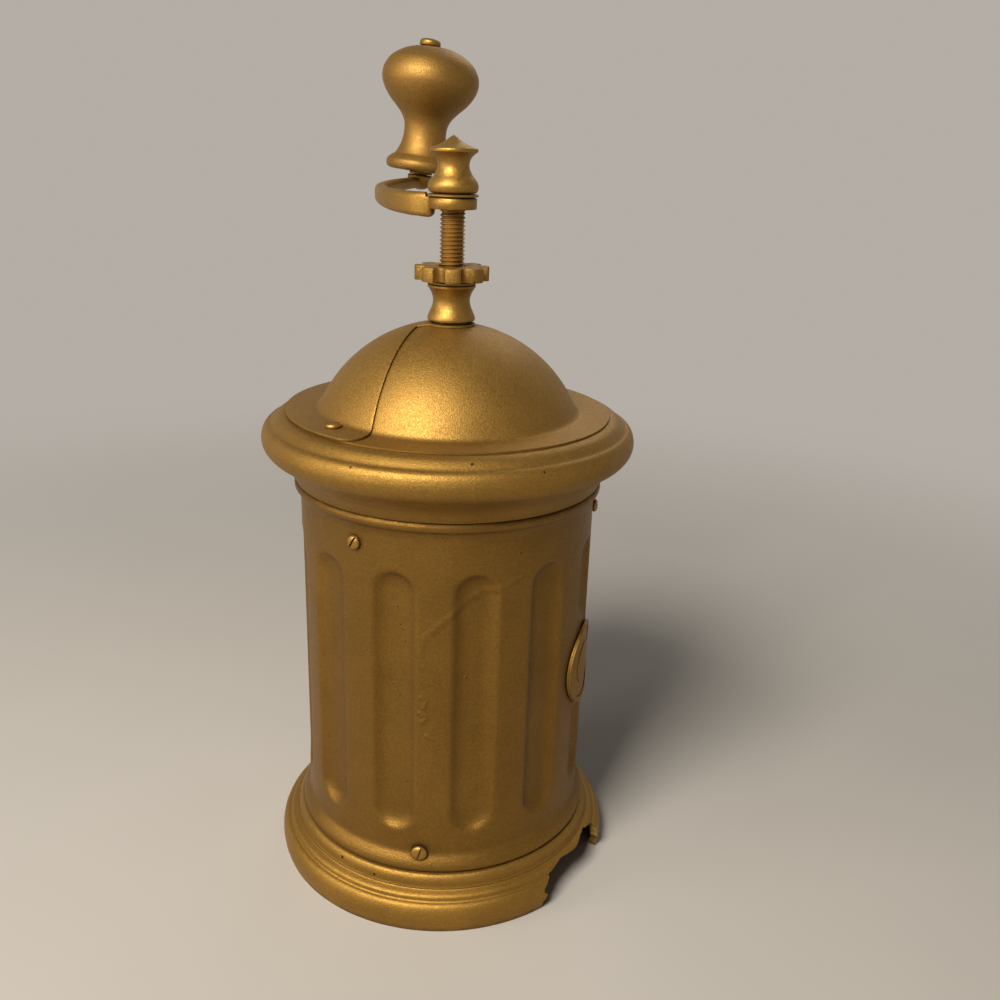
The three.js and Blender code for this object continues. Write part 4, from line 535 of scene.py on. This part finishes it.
def column():
    """The pressed shell with its drawer front, both cut from one fluted tube."""
    low = [(51.5, BODY_LOW), (51.95, 18.1), (52.0, 18.8), (51.75, 19.8), (51.2, 20.9), (50.55, 21.9),
           (49.95, 22.8), (49.6, 23.7), (BODY_R, 24.8)]
    high = [(BODY_R, 134.0), (49.6, 135.3), (49.9, 136.4), (50.3, 137.3), (50.8, 137.9), (51.3, 138.5),
            (51.5, 139.3), (51.35, 140.1), (50.95, 140.75), (50.5, BODY_HIGH)]
    # Rows of points lie close together where the flutes end.
    fine_low, fine_step, coarse_low, coarse_step = 30.0, 0.72, 42.6, 3.26
    ends = [fine_low + fine_step * i for i in range(14)]
    middle = [coarse_low + coarse_step * i for i in range(22)]
    rows = [28.6, *ends, *middle, *[FLUTE_LOW + FLUTE_HIGH - z for z in reversed(ends)], 127.0]
    outline = [*flowing(low, 3), *[(BODY_R, z) for z in rows], *flowing(high, 3)]
    piece = spun("column_shell", outline, 480)
    group = piece.vertex_groups.new(name="flutes")
    for vertex in piece.data.vertices:
        weight = flute_weight(*(vertex.co / MM))
        if weight > 0:
            group.add([vertex.index], weight, "REPLACE")
    apply(piece, "DISPLACE", vertex_group="flutes", strength=-FLUTE_DEPTH * MM, mid_level=0,
          direction="NORMAL")
    apply(piece, "SOLIDIFY", thickness=BODY_WALL * MM, offset=-1)
    front = copied(piece, "drawer_front_panel")
    back_in, back_out = 36, 52
    carve(piece, block("window", (-WINDOW_HALF, back_in, WINDOW_LOW), (WINDOW_HALF, back_out, WINDOW_HIGH)))
    half = WINDOW_HALF - SLIDE_GAP
    carve(front, block("window", (-half, back_in, WINDOW_LOW + SLIDE_GAP),
                       (half, back_out, WINDOW_HIGH - SLIDE_GAP)), "INTERSECT")
    finished(piece, "housing", shaded_sheet_gold, ["body_shell"])
    finished(front, "drawer", shaded_sheet_gold, ["drawer_front"])


def medal_stamp(radius):
    """A round tool that crosses the wall where the medallion sits."""
    stamp = begin("stamp", bpy.ops.mesh.primitive_cylinder_add, vertices=96, radius=radius * MM,
                  depth=30 * MM)
    wall = Matrix.Translation((0, -52 * MM, MEDAL_HEIGHT * MM))
    return moved(close(stamp), turned_to(MEDAL_AZIMUTH) @ wall @ laid_out())


def medallion():
    """Plain medallion with a raised rim, pressed to the column's curve."""
    low, high, back_r, face_r = 58, 98, 49.8, 50.4
    layers = []
    # Each layer's name, its radii from the spindle's axis, and its own outer and inner radius.
    for name, behind, front, outer, inner in (
            ("medallion_disc", back_r, face_r, MEDAL_R, 0),
            ("rim", face_r - 0.1, 50.8, MEDAL_R - 0.3, 12.6),
            ("hub", face_r - 0.1, 50.65, 7.5, 0)):
        layer = ring(name, behind, front, low, high, 288)
        carve(layer, medal_stamp(outer), "INTERSECT")
        if inner:
            carve(layer, medal_stamp(inner))
        soften(layer, 0.18, 3)
        layers.append(layer)
    finished(unite(*layers), "housing", cast_gold, ["medallion"])


def cornice():
    """Two rings: a hollow cove below the joint line, and the torus with a step above it."""
    cove = flowing([(CORNICE_SEAT_R, CORNICE_LOW), (51.6, 142.3), (52.35, 143.6), (53.2, 144.9),
                    (54.3, 146.2), (55.7, 147.6), (57.2, 148.8), (57.8, COVE_HIGH)])
    hollow = [(56.0, COVE_HIGH), (53.8, 147.4), (51.95, 144.9), (50.6, 142.5), (48.5, 142.5),
              (48.5, CORNICE_LOW), (CORNICE_SEAT_R, CORNICE_LOW)]
    finished(spun("cornice_lower_ring", [*cove, *hollow], RING_SIDES), "housing", cornice_gold,
             ["cornice_lower"])
    torus = flowing([(58.0, TORUS_LOW), (59.4, 150.4), (60.6, 151.8), (61.3, 153.3), (61.55, 154.9),
                     (61.35, 156.4), (60.9, 157.8), (60.2, 158.8), (59.4, 159.35), (58.7, 159.6),
                     (58.2, 159.9)])
    step = flowing([(57.6, 160.5), (56.8, 161.25), (55.8, 162.0), (54.6, 162.5), (53.4, CORNICE_HIGH)], 4)
    hollow = [(50, CORNICE_HIGH), (50, 160.4), (56.0, 159.4), (59.1, 157.4), (60.0, 155.4), (59.1, 152.4),
              (57.4, 150.7), (56.3, TORUS_LOW), (58.0, TORUS_LOW)]
    finished(spun("cornice_upper_ring", [*torus, *step, *hollow], RING_SIDES), "housing", cornice_gold,
             ["cornice_upper"])


def dome_line(offset, flange):
    """One surface of the dome sheet, from the neck's hole over the fillet to the flange's edge."""
    fillet_z = FLANGE_HIGH + FILLET
    fillet_r = math.sqrt((DOME_R + FILLET) ** 2 - (fillet_z - DOME_Z) ** 2)
    radius, bend = DOME_R + offset, FILLET - offset
    tangent = math.atan2(fillet_z - DOME_Z, fillet_r)
    start = math.acos(DOME_HOLE / radius)
    sweep, curl = 26, 6
    line = []
    for i in range(sweep + 1):
        angle = start + (tangent - start) * i / sweep
        line.append((radius * math.cos(angle), DOME_Z + radius * math.sin(angle)))
    for i in range(1, curl + 1):
        angle = math.pi + tangent + (math.pi / 2 - tangent) * i / curl
        line.append((fillet_r + bend * math.cos(angle), fillet_z + bend * math.sin(angle)))
    return [*line, (flange, FLANGE_HIGH + offset)]


def dome_sheet(name, offset, flange):
    """A whole dome of sheet with its flange; offset is its outer face over the fixed shell's."""
    outside, inside = dome_line(offset, flange), dome_line(offset - SHEET, flange)
    return spun(name, [*outside, *reversed(inside), outside[0]], 180)


def hatch_plan(margin, reach, corner):
    """Plan of the hatch: two straight edges beside the spindle, its corners and the flange's arc.

    The margin draws the edges in, reach is the arc's radius and corner the corners' radius.
    """
    edge, middle = HATCH_EDGE + margin, compass(HATCH_MIDDLE)
    outwards, inwards = compass(HATCH_SIDE), compass(HATCH_SIDE - 90)
    tip = middle * (edge / inwards.dot(middle))
    side = []
    if corner:
        aside, along = edge + corner, math.sqrt((HATCH_FLANGE_R - corner) ** 2 - (edge + corner) ** 2)
        leave = math.atan2(aside, along)
        for i in range(9):
            angle = -math.pi / 2 + (leave + math.pi / 2) * i / 8
            side.append(inwards * (aside + corner * math.sin(angle))
                        + outwards * (along + corner * math.cos(angle)))
    else:
        side.append(inwards * edge + outwards * math.sqrt(reach ** 2 - edge ** 2))
    start = math.degrees(math.atan2(side[-1].x, -side[-1].y))
    arc = [compass(start + 2 * (HATCH_MIDDLE - start) * i / 40) * reach for i in range(41)]
    mirrored = [middle * 2 * p.dot(middle) - p for p in reversed(side)]
    return [(p.x, p.y) for p in [tip, *side, *arc, *mirrored]]


def dome_and_hatch():
    """The fixed shell with its bean mouth, and the hatch that lies over it."""
    fixed = dome_sheet("dome_fixed_shell", 0, FIXED_FLANGE_R)
    carve(fixed, prism("mouth", hatch_plan(HATCH_OVERLAP, MOUTH_R, 0), 160.5, 192.5))
    finished(fixed, "housing", dome_gold, ["fixed_dome"])
    # The tools reach from under the flange to over the hub.
    below, above, hub_r, web_half, web_reach = 161.2, 193.6, 7.75, 5, 11.6
    sheet = dome_sheet("dome_hatch_shell", SLIDE + SHEET, HATCH_FLANGE_R)
    plate = prism("plate", hatch_plan(0, HATCH_FLANGE_R + 1, HATCH_CORNER), below, above)
    web = moved(block("web", (-web_half, -web_reach, below), (web_half, 0, above)), turned_to(HATCH_MIDDLE))
    carve(plate, ring("hub", 0, hub_r, below, above, 72), "UNION")
    carve(plate, web, "UNION")
    carve(sheet, plate, "INTERSECT")
    soften(sheet, 0.16, 2, angle=45)
    finished(sheet, "hatch", hatch_gold, ["sliding_hatch"])


def neck():
    """Waisted collar over the dome, and the painted thrust washer on it."""
    outer = [(7.6, 0), (7.7, 0.48), (7.5, 1.38), (7.0, 2.58), (6.35, 3.98), (5.95, 5.78), (6.05, 7.18),
             (6.5, 8.58), (7.1, 9.68), (7.7, 10.48)]
    waist = flowing([(r, NECK_LOW + rise) for r, rise in outer], 4)
    spigot_r, spigot_low = 5.6, NECK_LOW - NECK_SPIGOT
    outline = [(SPINDLE_HOLE_R, spigot_low), (spigot_r, spigot_low), (spigot_r, NECK_LOW), *waist,
               (7.7, NECK_HIGH), (SPINDLE_HOLE_R, NECK_HIGH), (SPINDLE_HOLE_R, spigot_low)]
    finished(spun("neck_turning", outline, SMALL_SIDES), "housing", small_gold, ["neck_collar"])
    disc = washer("thrust_washer_disc", SPINDLE_HOLE_R, 7.8, THRUST_LOW, THRUST_HIGH, (0.2, 0.18, 0.18))
    finished(disc, "drive_washer", small_gold, ["thrust_washer"])


def star_nut():
    """Stamped nut with eight squared lobes."""
    lobes, phase = 8, 5
    # One lobe as (radius, share of the step from lobe to lobe).
    lobe = [(9.0, -0.5), (9.15, -0.42), (9.6, -0.345), (10.6, -0.3), (11.45, -0.27), (11.8, -0.2),
            (11.9, -0.08), (11.9, 0.08), (11.8, 0.2), (11.45, 0.27), (10.6, 0.3), (9.6, 0.345),
            (9.15, 0.42)]
    plan = [compass(phase + 360 / lobes * (k + share)) * r for k in range(lobes) for r, share in lobe]
    nut = prism("star_nut_lobed", [(p.x, p.y) for p in plan], NUT_LOW, NUT_HIGH)
    carve(nut, ring("bore", 0, SPINDLE_HOLE_R, 200, 212, 48))
    soften(nut, 0.45, 3)
    finished(nut, "star_nut", rough_gold, ["adjusting_nut"])


def spindle():
    """Shaft with its thread cut between the neck and the crank."""
    thread_low, thread_high, root_r = 205.0, 226.0, 3.4
    tail, chamfer, shoulder_low, shoulder_high, shoulder_r = 69.2, 0.8, 80.2, 81.8, 6.5
    shaft = spun("spindle_threaded", [
        (0, tail), (SPINDLE_R - chamfer, tail), (SPINDLE_R, tail + chamfer), (SPINDLE_R, shoulder_low),
        (shoulder_r, shoulder_low), (shoulder_r, shoulder_high), (SPINDLE_R, shoulder_high),
        (SPINDLE_R, thread_low), (0, thread_low)], 64)
    core = spun("core", [(0, thread_low - 0.5), (root_r, thread_low - 0.5), (root_r, thread_high),
                         (3.9, thread_high + 0.3), (3.9, SHAFT_HIGH), (0, SHAFT_HIGH)], 64)
    square = block("square", (-2.7, -2.7, 225), (2.7, 2.7, EYE_HIGH - 0.2))
    stud = spun("stud", [(0, 229), (STUD_R, 229), (STUD_R, 240.6), (STUD_R - 0.4, 241.2), (0, 241.2)], 32)
    # The ridge's section is drawn as four steps outwards and up, then screwed round the core.
    ridge = begin("thread", bpy.ops.mesh.primitive_plane_add, size=MM)
    bpy.ops.mesh.merge(type="CENTER")
    bpy.ops.transform.translate(value=((root_r - 0.02) * MM, 0, thread_low * MM))
    for out, rise in ((0.62, 0.5), (0, 0.14), (-0.62, 0.5), (0, 0.11)):
        bpy.ops.mesh.extrude_vertices_move(TRANSFORM_OT_translate={"value": (out * MM, 0, rise * MM)})
    close(ridge)
    apply(ridge, "SCREW", angle=math.tau, screw_offset=THREAD_PITCH * MM, iterations=16, steps=40,
          render_steps=40, use_merge_vertices=False)
    finished(unite(shaft, core, square, stud, ridge), "rotor", thread_gold, ["spindle"])


def knob_axis():
    """Place of the knob's pin, whose +Z leans to the right."""
    return Matrix.Translation(Vector(KNOB_FOOT) * MM) @ Matrix.Rotation(math.radians(KNOB_LEAN), 4, "Y")


def crank():
    """Rounded bar on edge that tapers from the squared eye to its round tip."""
    bow = flowing([(-6, 0), (-11.7, 2.9), (-19.2, 12.3), (-25.2, 28.8), (-28, 49), (-26, 70.6),
                   KNOB_FOOT[:2]], 12)
    line = evenly(bow, 40)
    left, right = [], []
    for i, (x, y) in enumerate(line):
        run = (Vector(line[min(i + 1, len(line) - 1)]) - Vector(line[max(i - 1, 0)])).normalized()
        left.append((x - run.y * ARM_HALF, y + run.x * ARM_HALF))
        right.append((x + run.y * ARM_HALF, y - run.x * ARM_HALF))
    bar = prism("crank_bar", [*left, *reversed(right)], ARM_HIGH - ARM_HEIGHT, ARM_HIGH)
    # The top edge climbs towards the knob and the bar loses half of its height.
    climb, loss = 2.2, 3.8
    for vertex in bar.data.vertices:
        along = max(0, vertex.co.y) / (ARM_REACH * MM)
        high = ARM_HIGH + climb * along ** 2
        is_top = vertex.co.z > (ARM_HIGH - ARM_HEIGHT / 2) * MM
        vertex.co.z = (high if is_top else high - ARM_HEIGHT + loss * along ** 0.75) * MM
    soften(bar, 1.6, 5)
    carve(bar, ring("room", 0, 8.7, EYE_HIGH, 240, 64))
    carve(bar, ring("room", 0, 5, 220, EYE_LOW, 64))
    eye_r, break_edge, hole_half = 7.5, 0.3, 3
    eye = spun("eye", [(0, EYE_LOW), (eye_r - break_edge, EYE_LOW), (eye_r, EYE_LOW + break_edge),
                       (eye_r, EYE_HIGH - break_edge), (eye_r - break_edge, EYE_HIGH), (0, EYE_HIGH)], 72)
    carve(bar, eye, "UNION")
    tip = flowing([(0, -5.6), (2.1, -5.25), (3.7, -4.3), (4.65, -3.0), (5.0, -1.5), (5.0, -0.4)], 4)
    carve(bar, moved(spun("boss", [*tip, (4.6, 0), (0, 0)], 64), knob_axis()), "UNION")
    carve(bar, block("square", (-hole_half, -hole_half, 220), (hole_half, hole_half, 236)))
    carve(bar, moved(ring("hole", 0, PIN_HOLE_R, -3.5, 3, 48), knob_axis()))
    finished(bar, "rotor", small_gold, ["crank_arm"], smooth=45)
    disc = washer("crank_washer_disc", STUD_HOLE_R, 8, WASHER_LOW, WASHER_HIGH, (0.4, 0.18, 0.22))
    finished(disc, "rotor", small_gold, ["crank_washer"])


def finial():
    """Waisted cap nut with a pointed top."""
    bulge = flowing([(6.9, 0), (7.6, 0.5), (7.9, 1.7), (7.7, 2.8), (7.0, 4.0), (5.9, 5.4), (5.1, 7.0),
                     (4.9, 8.3), (5.15, 9.6), (5.9, 10.8), (6.9, 11.7), (7.5, 12.1)], 4)
    cap = flowing([(7.6, 12.6), (7.35, 13.1), (6.2, 13.5), (4.3, 14.2), (2.5, 15.3), (1.0, 16.4),
                   (0.0, 16.9)], 3)
    blind = 9.8
    outline = [(0, blind), (STUD_HOLE_R, blind), (STUD_HOLE_R, 0), *bulge, *cap]
    piece = spun("finial_turning", [(r, FINIAL_LOW + z) for r, z in outline], SMALL_SIDES)
    finished(piece, "rotor", small_gold, ["finial_nut"])


def knob():
    """Turned bulb on its riveted pin, with the washer under it."""
    outer = flowing([(12.2, 0), (13.4, 0.6), (13.9, 2.0), (13.6, 3.5), (12.5, 4.6), (11.6, 5.3),
                     (11.1, 5.6), (10.4, 6.4), (9.4, 8.4), (8.6, 10.9), (8.2, 13.9), (8.3, 16.6),
                     (8.9, 18.6), (10.1, 20.6), (12.2, 22.9), (14.9, 25.6), (17.2, 28.9), (18.4, 32.0),
                     (18.5, 34.6), (17.8, 37.2), (15.5, 40.5), (11.4, 43.2), (7.4, 44.6), (4.6, 45.0),
                     (PIN_HOLE_R, 45.0)], 4)
    outline = [(PIN_HOLE_R, KNOB_RISE), *[(r, z + KNOB_RISE) for r, z in outer], (PIN_HOLE_R, KNOB_RISE)]
    bulb = moved(spun("knob_bulb", outline, 120), knob_axis())
    finished(bulb, "crank_knob", wood_gold, ["knob"])
    head_low, head_sink, head_shift = 46.9, 0.2, 1.6
    shank = ring("knob_pin_turning", 0, PIN_R, -3.2, head_low, 48)
    head = flowing([(3.9, head_low), (3.95, 47.9), (3.4, 48.75), (1.9, 49.15), (0, 49.3)], 3)
    under = head_low - head_sink
    # The head was riveted over a little to one side.
    button = moved(spun("button", [(0, under), (3.7, under), *head], 48),
                   Matrix.Translation((-head_shift * MM, 0, 0)))
    finished(moved(unite(shank, button), knob_axis()), "rotor", small_gold, ["knob_pin"])
    disc = washer("knob_washer_disc", PIN_HOLE_R, 4.5, 0.3, 1.1, (0.2, 0.2, 0.2), 64)
    finished(moved(disc, knob_axis()), "rotor", small_gold, ["knob_washer"])


def screw(node, length, slot_turn, place, body, material, wide=1.0):
    """A slotted round-headed screw; place turns +Z to where its head points."""
    shank_r, slot_half, slot_low = 1.3, 0.34, 0.8
    head = flowing([(2.2 * wide, 0.25), (2.25 * wide, 0.7), (1.9 * wide, 1.25), (1.15 * wide, 1.6),
                    (0, 1.7)], 3)
    outline = [(0, -length), (shank_r, -length), (shank_r, 0), (2.05 * wide, 0), *head]
    piece = spun(f"{node}_slotted", outline, 32)
    cut = block("slot", (-4, -slot_half, slot_low), (4, slot_half, 3))
    carve(piece, moved(cut, turned_to(slot_turn)))
    finished(moved(piece, place), body, material, [node])


def pointing(azimuth, radius, height):
    """Place of a screw whose head points outwards at an azimuth."""
    spot = compass(azimuth) * radius + Vector((0, 0, height))
    return Matrix.Translation(spot * MM) @ turned_to(azimuth) @ laid_out()


def upright(azimuth, radius, height, down=False):
    """Place of a screw whose head points up, or down."""
    spot = compass(azimuth) * radius + Vector((0, 0, height))
    flip = Matrix.Rotation(math.pi, 4, "X") if down else Matrix.Identity(4)
    return Matrix.Translation(spot * MM) @ flip


def screws():
    """Three screws at thirds in each ring of column and foot, and those of hatch, stirrup and bridge."""
    upper, lower = -31.4, -5.7
    for i in range(3):
        number, third = i + 1, 120 * i
        screw(f"upper_screw_{number}", 4.6, 62 + 40 * i, pointing(upper + third, 49.6, 131.1), "housing",
              screw_gold)
        screw(f"lower_screw_{number}", 5.2, 72 + 50 * i, pointing(lower + third, 50.0, 23.8), "housing",
              screw_gold, wide=1.22)
        screw(f"foot_screw_{number}", 4.6, 30 * i, upright(lower + third, 50.6, 9.5, True), "housing",
              bright_steel)
    screw("hatch_screw", 3.6, 20, upright(-45.6, 46.6, 164.1), "hatch", screw_gold, wide=1.12)
    for i in range(2):
        number, half_turn = i + 1, 180 * i
        screw(f"stirrup_screw_{number}", 5.7, 25 + 60 * i, upright(5 + half_turn, 40.1, 143.5), "housing",
              bright_steel)
        screw(f"bridge_screw_{number}", 11.5, 15 + 70 * i, upright(-90 + half_turn, 23.65, 73.1, True),
              "housing", bright_steel)


def drawer_knob():
    """Turned knob whose stud is riveted inside the tray, as (radius, way out from the spindle's axis)."""
    stud_r, front = 1.5, 49.8
    line = flowing([(4.4, front), (3.8, 51.2), (3.2, 52.8), (3.15, 54), (4.0, 55.3), (5.1, 56.4),
                    (5.5, 57.8), (5.1, 59.4), (4.0, 60.5), (2.3, 60.8), (0, 60.8)], 4)
    stud = [(0, 37.3), (2.2, 37.4), (2.8, 38.0), (2.8, 38.5), (stud_r, 38.5), (stud_r, front)]
    piece = spun("drawer_knob_turning", [*stud, *line], 64)
    place = Matrix.Translation((0, 0, DRAWER_HEIGHT * MM)) @ turned_to(180) @ laid_out()
    finished(moved(piece, place), "drawer", small_gold, ["drawer_knob"])


def spring():
    """Coil of 1.2 mm wire under the stirrup, as short as it is when the spindle stands highest."""
    wire, coil_r, low, rise, turns, steps = 1.2, 6.1, 153.36, 16.44, 6, 36
    path = bpy.data.curves.new("thrust_spring_coil", "CURVE")
    path.dimensions = "3D"
    path.bevel_depth = wire / 2 * MM
    path.bevel_resolution = 4
    path.use_fill_caps = True
    line = path.splines.new("POLY")
    line.points.add(turns * steps)
    for i, point in enumerate(line.points):
        spot = compass(i * 360 / steps) * coil_r
        share = i / (turns * steps)
        point.co = (*(spot.x * MM, spot.y * MM, (low + rise * share) * MM), 1)
    piece = bpy.data.objects.new("thrust_spring_coil", path)
    bpy.context.collection.objects.link(piece)
    only(piece)
    bpy.ops.object.convert(target="MESH")
    finished(bpy.context.object, "drive_washer", bright_steel, ["thrust_spring"])


# Finishes
# Sag lines as start, end and half width, drops and chips as place and radius, on the unrolled column.
SAG = [((20.8, 118.8, 0), (14.0, 117.2, 0), 1.9), ((14.0, 117.2, 0), (8.3, 114.0, 0), 2.0),
       ((8.3, 114.0, 0), (1.5, 108.2, 0), 2.1), ((1.5, 108.2, 0), (-4.3, 102.2, 0), 2.1),
       ((-4.3, 102.2, 0), (-5.2, 97.4, 0), 1.8), ((-4.8, 82.0, 0), (-3.2, 80.8, 0), 1.3),
       ((-3.2, 80.8, 0), (-4.1, 78.2, 0), 1.3), ((-5.1, 76.4, 0), (-3.2, 74.8, 0), 1.3),
       ((-3.2, 74.8, 0), (-4.4, 73.0, 0), 1.3), ((-3.0, 68.2, 0), (-0.8, 67.1, 0), 1.1),
       ((26.5, 121.5, 0), (20.8, 118.8, 0), 1.6)]
DROPS = [((-5.2, 97.0, 0), 2.2), ((-4.6, 73.4, 0), 1.4), ((25.9, 129.5, 0), 0.8), ((-33.6, 60.0, 0), 1.1),
         ((9.4, 88.0, 0), 0.9), ((-31.6, 104.0, 0), 0.9)]
BODY_CHIPS = [((-13.2, 111.3, 0), 0.3), ((-12.2, 105.4, 0), 0.34), ((-11.4, 103.7, 0), 0.28),
              ((-10.7, 99.9, 0), 0.26), ((25.9, 129.5, 0), 0.3), ((-15.0, 84.0, 0), 0.28)]
RING_CHIPS = [((-24.6, -54.6, 158.4), 0.8), ((9.7, -56.0, 161.3), 0.6), ((30.2, -52.3, 158.4), 0.45)]
FOOT_CHIPS = [((-31.7, -43.0, 15.4), 0.7), ((4.3, -51.5, 19.6), 0.8), ((-20.0, -49.8, 14.4), 0.6)]
cast_gold = gold_paint("gold_paint_on_cast_zinc", "#a37c38", "#7e5e25", rough=0.5, specks=0.75, peel=1.2,
                       chips=FOOT_CHIPS)
cast_gold_upper = gold_paint("gold_paint_on_cast_base", "#a17a38", "#7e5e27", rough=0.5, specks=0.6,
                             peel=1.2, chips=FOOT_CHIPS)
torn_gold = gold_paint("gold_paint_on_torn_metal", "#b48f4c", "#6f5426", rough=0.55, specks=0.9, peel=6.0)
# The column's paint is darker than the other pieces' as painted shade on its walls, and its flutes and
# beads get the strongest painted crease shade, mixed with dirt.
shaded_sheet_gold = gold_paint("gold_paint_on_pressed_sheet_with_painted_shade", "#8f6a2f", "#6d501f", rough=0.45, brushed=0.7,
                        specks=0.5, shade_and_grime=1.7, reach=6.0, swept=0.98, unrolled=BODY_R, drops=DROPS,
                        runs=SAG, chips=BODY_CHIPS)
cornice_gold = gold_paint("gold_paint_on_cornice", "#a07a38", "#7d5d27", rough=0.5, specks=0.8, reach=6.0,
                          chips=RING_CHIPS)
dome_gold = gold_paint("gold_paint_on_dome_sheet", "#a27c3c", "#83632c", rough=0.52, specks=0.35)
hatch_gold = gold_paint("gold_paint_on_hatch_sheet", "#a07a3b", "#80612b", rough=0.53, specks=0.4)
small_gold = gold_paint("gold_paint_on_turned_brass", "#aa833f", "#86652b", rough=0.45, specks=0.3)
rough_gold = gold_paint("gold_paint_on_stamped_nut", "#ad8541", "#765825", rough=0.46, specks=0.8, peel=2.5)
thread_gold = gold_paint("gold_paint_on_thread", "#b28946", "#8c6930", rough=0.42, specks=0.2, flake=0.2)
screw_gold = gold_paint("gold_paint_on_screws", "#b58d4a", "#8e6a30", rough=0.4, specks=0.3, flake=0.2)
wood_gold = gold_paint("gold_paint_on_turned_wood", "#9f793b", "#82622e", rough=0.54, specks=0.3)
grey_iron = bare_metal("grey_cast_iron", "#6b665f", "#3c3935", 0.6, 0.9, 0.12)
bright_steel = bare_metal("turned_steel", "#a8a59e", "#86827a", 0.34, 0.5, 0.02)
burr_steel = bare_metal("hardened_steel", "#8f8c86", "#5d5a55", 0.38, 0.6, 0.03)
dull_tin = bare_metal("tinned_sheet", "#b4b0a6", "#8f8b80", 0.42, 3.0, 0.05)

# The solids that show as they were packed, with their metal
CARRIED = {
    grey_iron: ("hopper_funnel", "stirrup", "lower_bridge"),
    burr_steel: ("burr_ring", "burr_cone"),
    bright_steel: ("cone_nut", "spring_washer", "spring_pin", "hatch_nut"),
    dull_tin: ("bottom_plate", "drawer_tray", "drawer_rail_left", "drawer_rail_right"),
}


def dress_carried():
    """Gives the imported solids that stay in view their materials."""
    for material, names in CARRIED.items():
        for name in names:
            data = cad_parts[name].data
            data.materials.clear()
            data.materials.append(material)


# Floor, backdrop and light
BACKDROP, BACKDROP_LEVEL = "#f5ede2", 0.5


def seen_directly(tree):
    """One for rays from the camera, off metal or through glass, which show the backdrop."""
    ray = put(tree, "ShaderNodeLightPath")
    either = put(tree, "ShaderNodeMath", {0: ray.outputs["Is Camera Ray"], 1: ray.outputs["Is Glossy Ray"]},
                 operation="MAXIMUM")
    return put(tree, "ShaderNodeMath", {0: either, 1: ray.outputs["Is Transmission Ray"]},
               operation="MAXIMUM")


def pale_floor():
    """A pale floor that melts into the backdrop behind the grinder."""
    material, tree, shader = blank("pale_floor", Roughness=0.8)
    coords = put(tree, "ShaderNodeTexCoord")
    soft = put(tree, "ShaderNodeTexNoise", {"Vector": coords.outputs["Object"], "Scale": 9, "Detail": 3})
    tone = put(tree, "ShaderNodeMix", {"Factor": soft, "A": linear("#aaa59e"),
                                       "B": linear("#afaaa3")}, data_type="RGBA")
    tree.links.new(tone.outputs["Result"], shader.inputs["Base Color"])
    out = put(tree, "ShaderNodeVectorMath", {0: coords.outputs["Object"]}, operation="LENGTH")
    far = put(tree, "ShaderNodeMapRange", {"Value": out, "From Min": 0.12,
                                           "From Max": 0.72}, interpolation_type="SMOOTHSTEP")
    share = put(tree, "ShaderNodeMath", {0: far, 1: seen_directly(tree)}, operation="MULTIPLY")
    glow = put(tree, "ShaderNodeEmission", {"Color": linear(BACKDROP), "Strength": BACKDROP_LEVEL})
    mixed = put(tree, "ShaderNodeMixShader", {"Fac": share, 1: shader, 2: glow})
    tree.links.new(mixed.outputs["Shader"], tree.nodes["Material Output"].inputs["Surface"])
    floor = begin("floor", bpy.ops.mesh.primitive_plane_add, size=12)
    bpy.ops.mesh.subdivide(number_cuts=4)
    close(floor)
    floor.data.materials.append(material)


def studio():
    """A backdrop that is pale near the horizon and darker overhead, and three soft boxes."""
    world = bpy.data.worlds.new("studio")
    bpy.context.scene.world = world
    world.use_nodes = True
    tree = world.node_tree
    coords = put(tree, "ShaderNodeTexCoord")
    axes = put(tree, "ShaderNodeSeparateXYZ", {"Vector": coords.outputs["Generated"]})
    height = put(tree, "ShaderNodeMapRange", {"Value": axes.outputs["Z"], "From Min": 0.15,
                                              "From Max": 0.8, "To Min": 1.0, "To Max": 0.35},
                 interpolation_type="SMOOTHSTEP")
    level = put(tree, "ShaderNodeMapRange", {"Value": seen_directly(tree), "To Min": 0.2,
                                             "To Max": BACKDROP_LEVEL})
    strength = put(tree, "ShaderNodeMath", {0: height, 1: level}, operation="MULTIPLY")
    back = tree.nodes["Background"]
    back.inputs["Color"].default_value = linear(BACKDROP)
    tree.links.new(strength.outputs["Value"], back.inputs["Strength"])
    lamp("key", (-0.4, -0.66, 0.86), 0.42, 18.5, (1.0, 0.95, 0.87))
    lamp("side", (-0.8, -0.3, 0.36), 0.3, 2.0, (1.0, 0.92, 0.82))
    lamp("back", (0.3, 0.9, 0.9), 0.5, 1.6)


aim_camera()
pale_floor()
studio()
foot_ring()
base_casting()
column()
medallion()
cornice()
dome_and_hatch()
neck()
star_nut()
spindle()
crank()
finial()
knob()
screws()
drawer_knob()
spring()
dress_carried()

view = bpy.context.scene.view_settings
view.view_transform = "Standard"
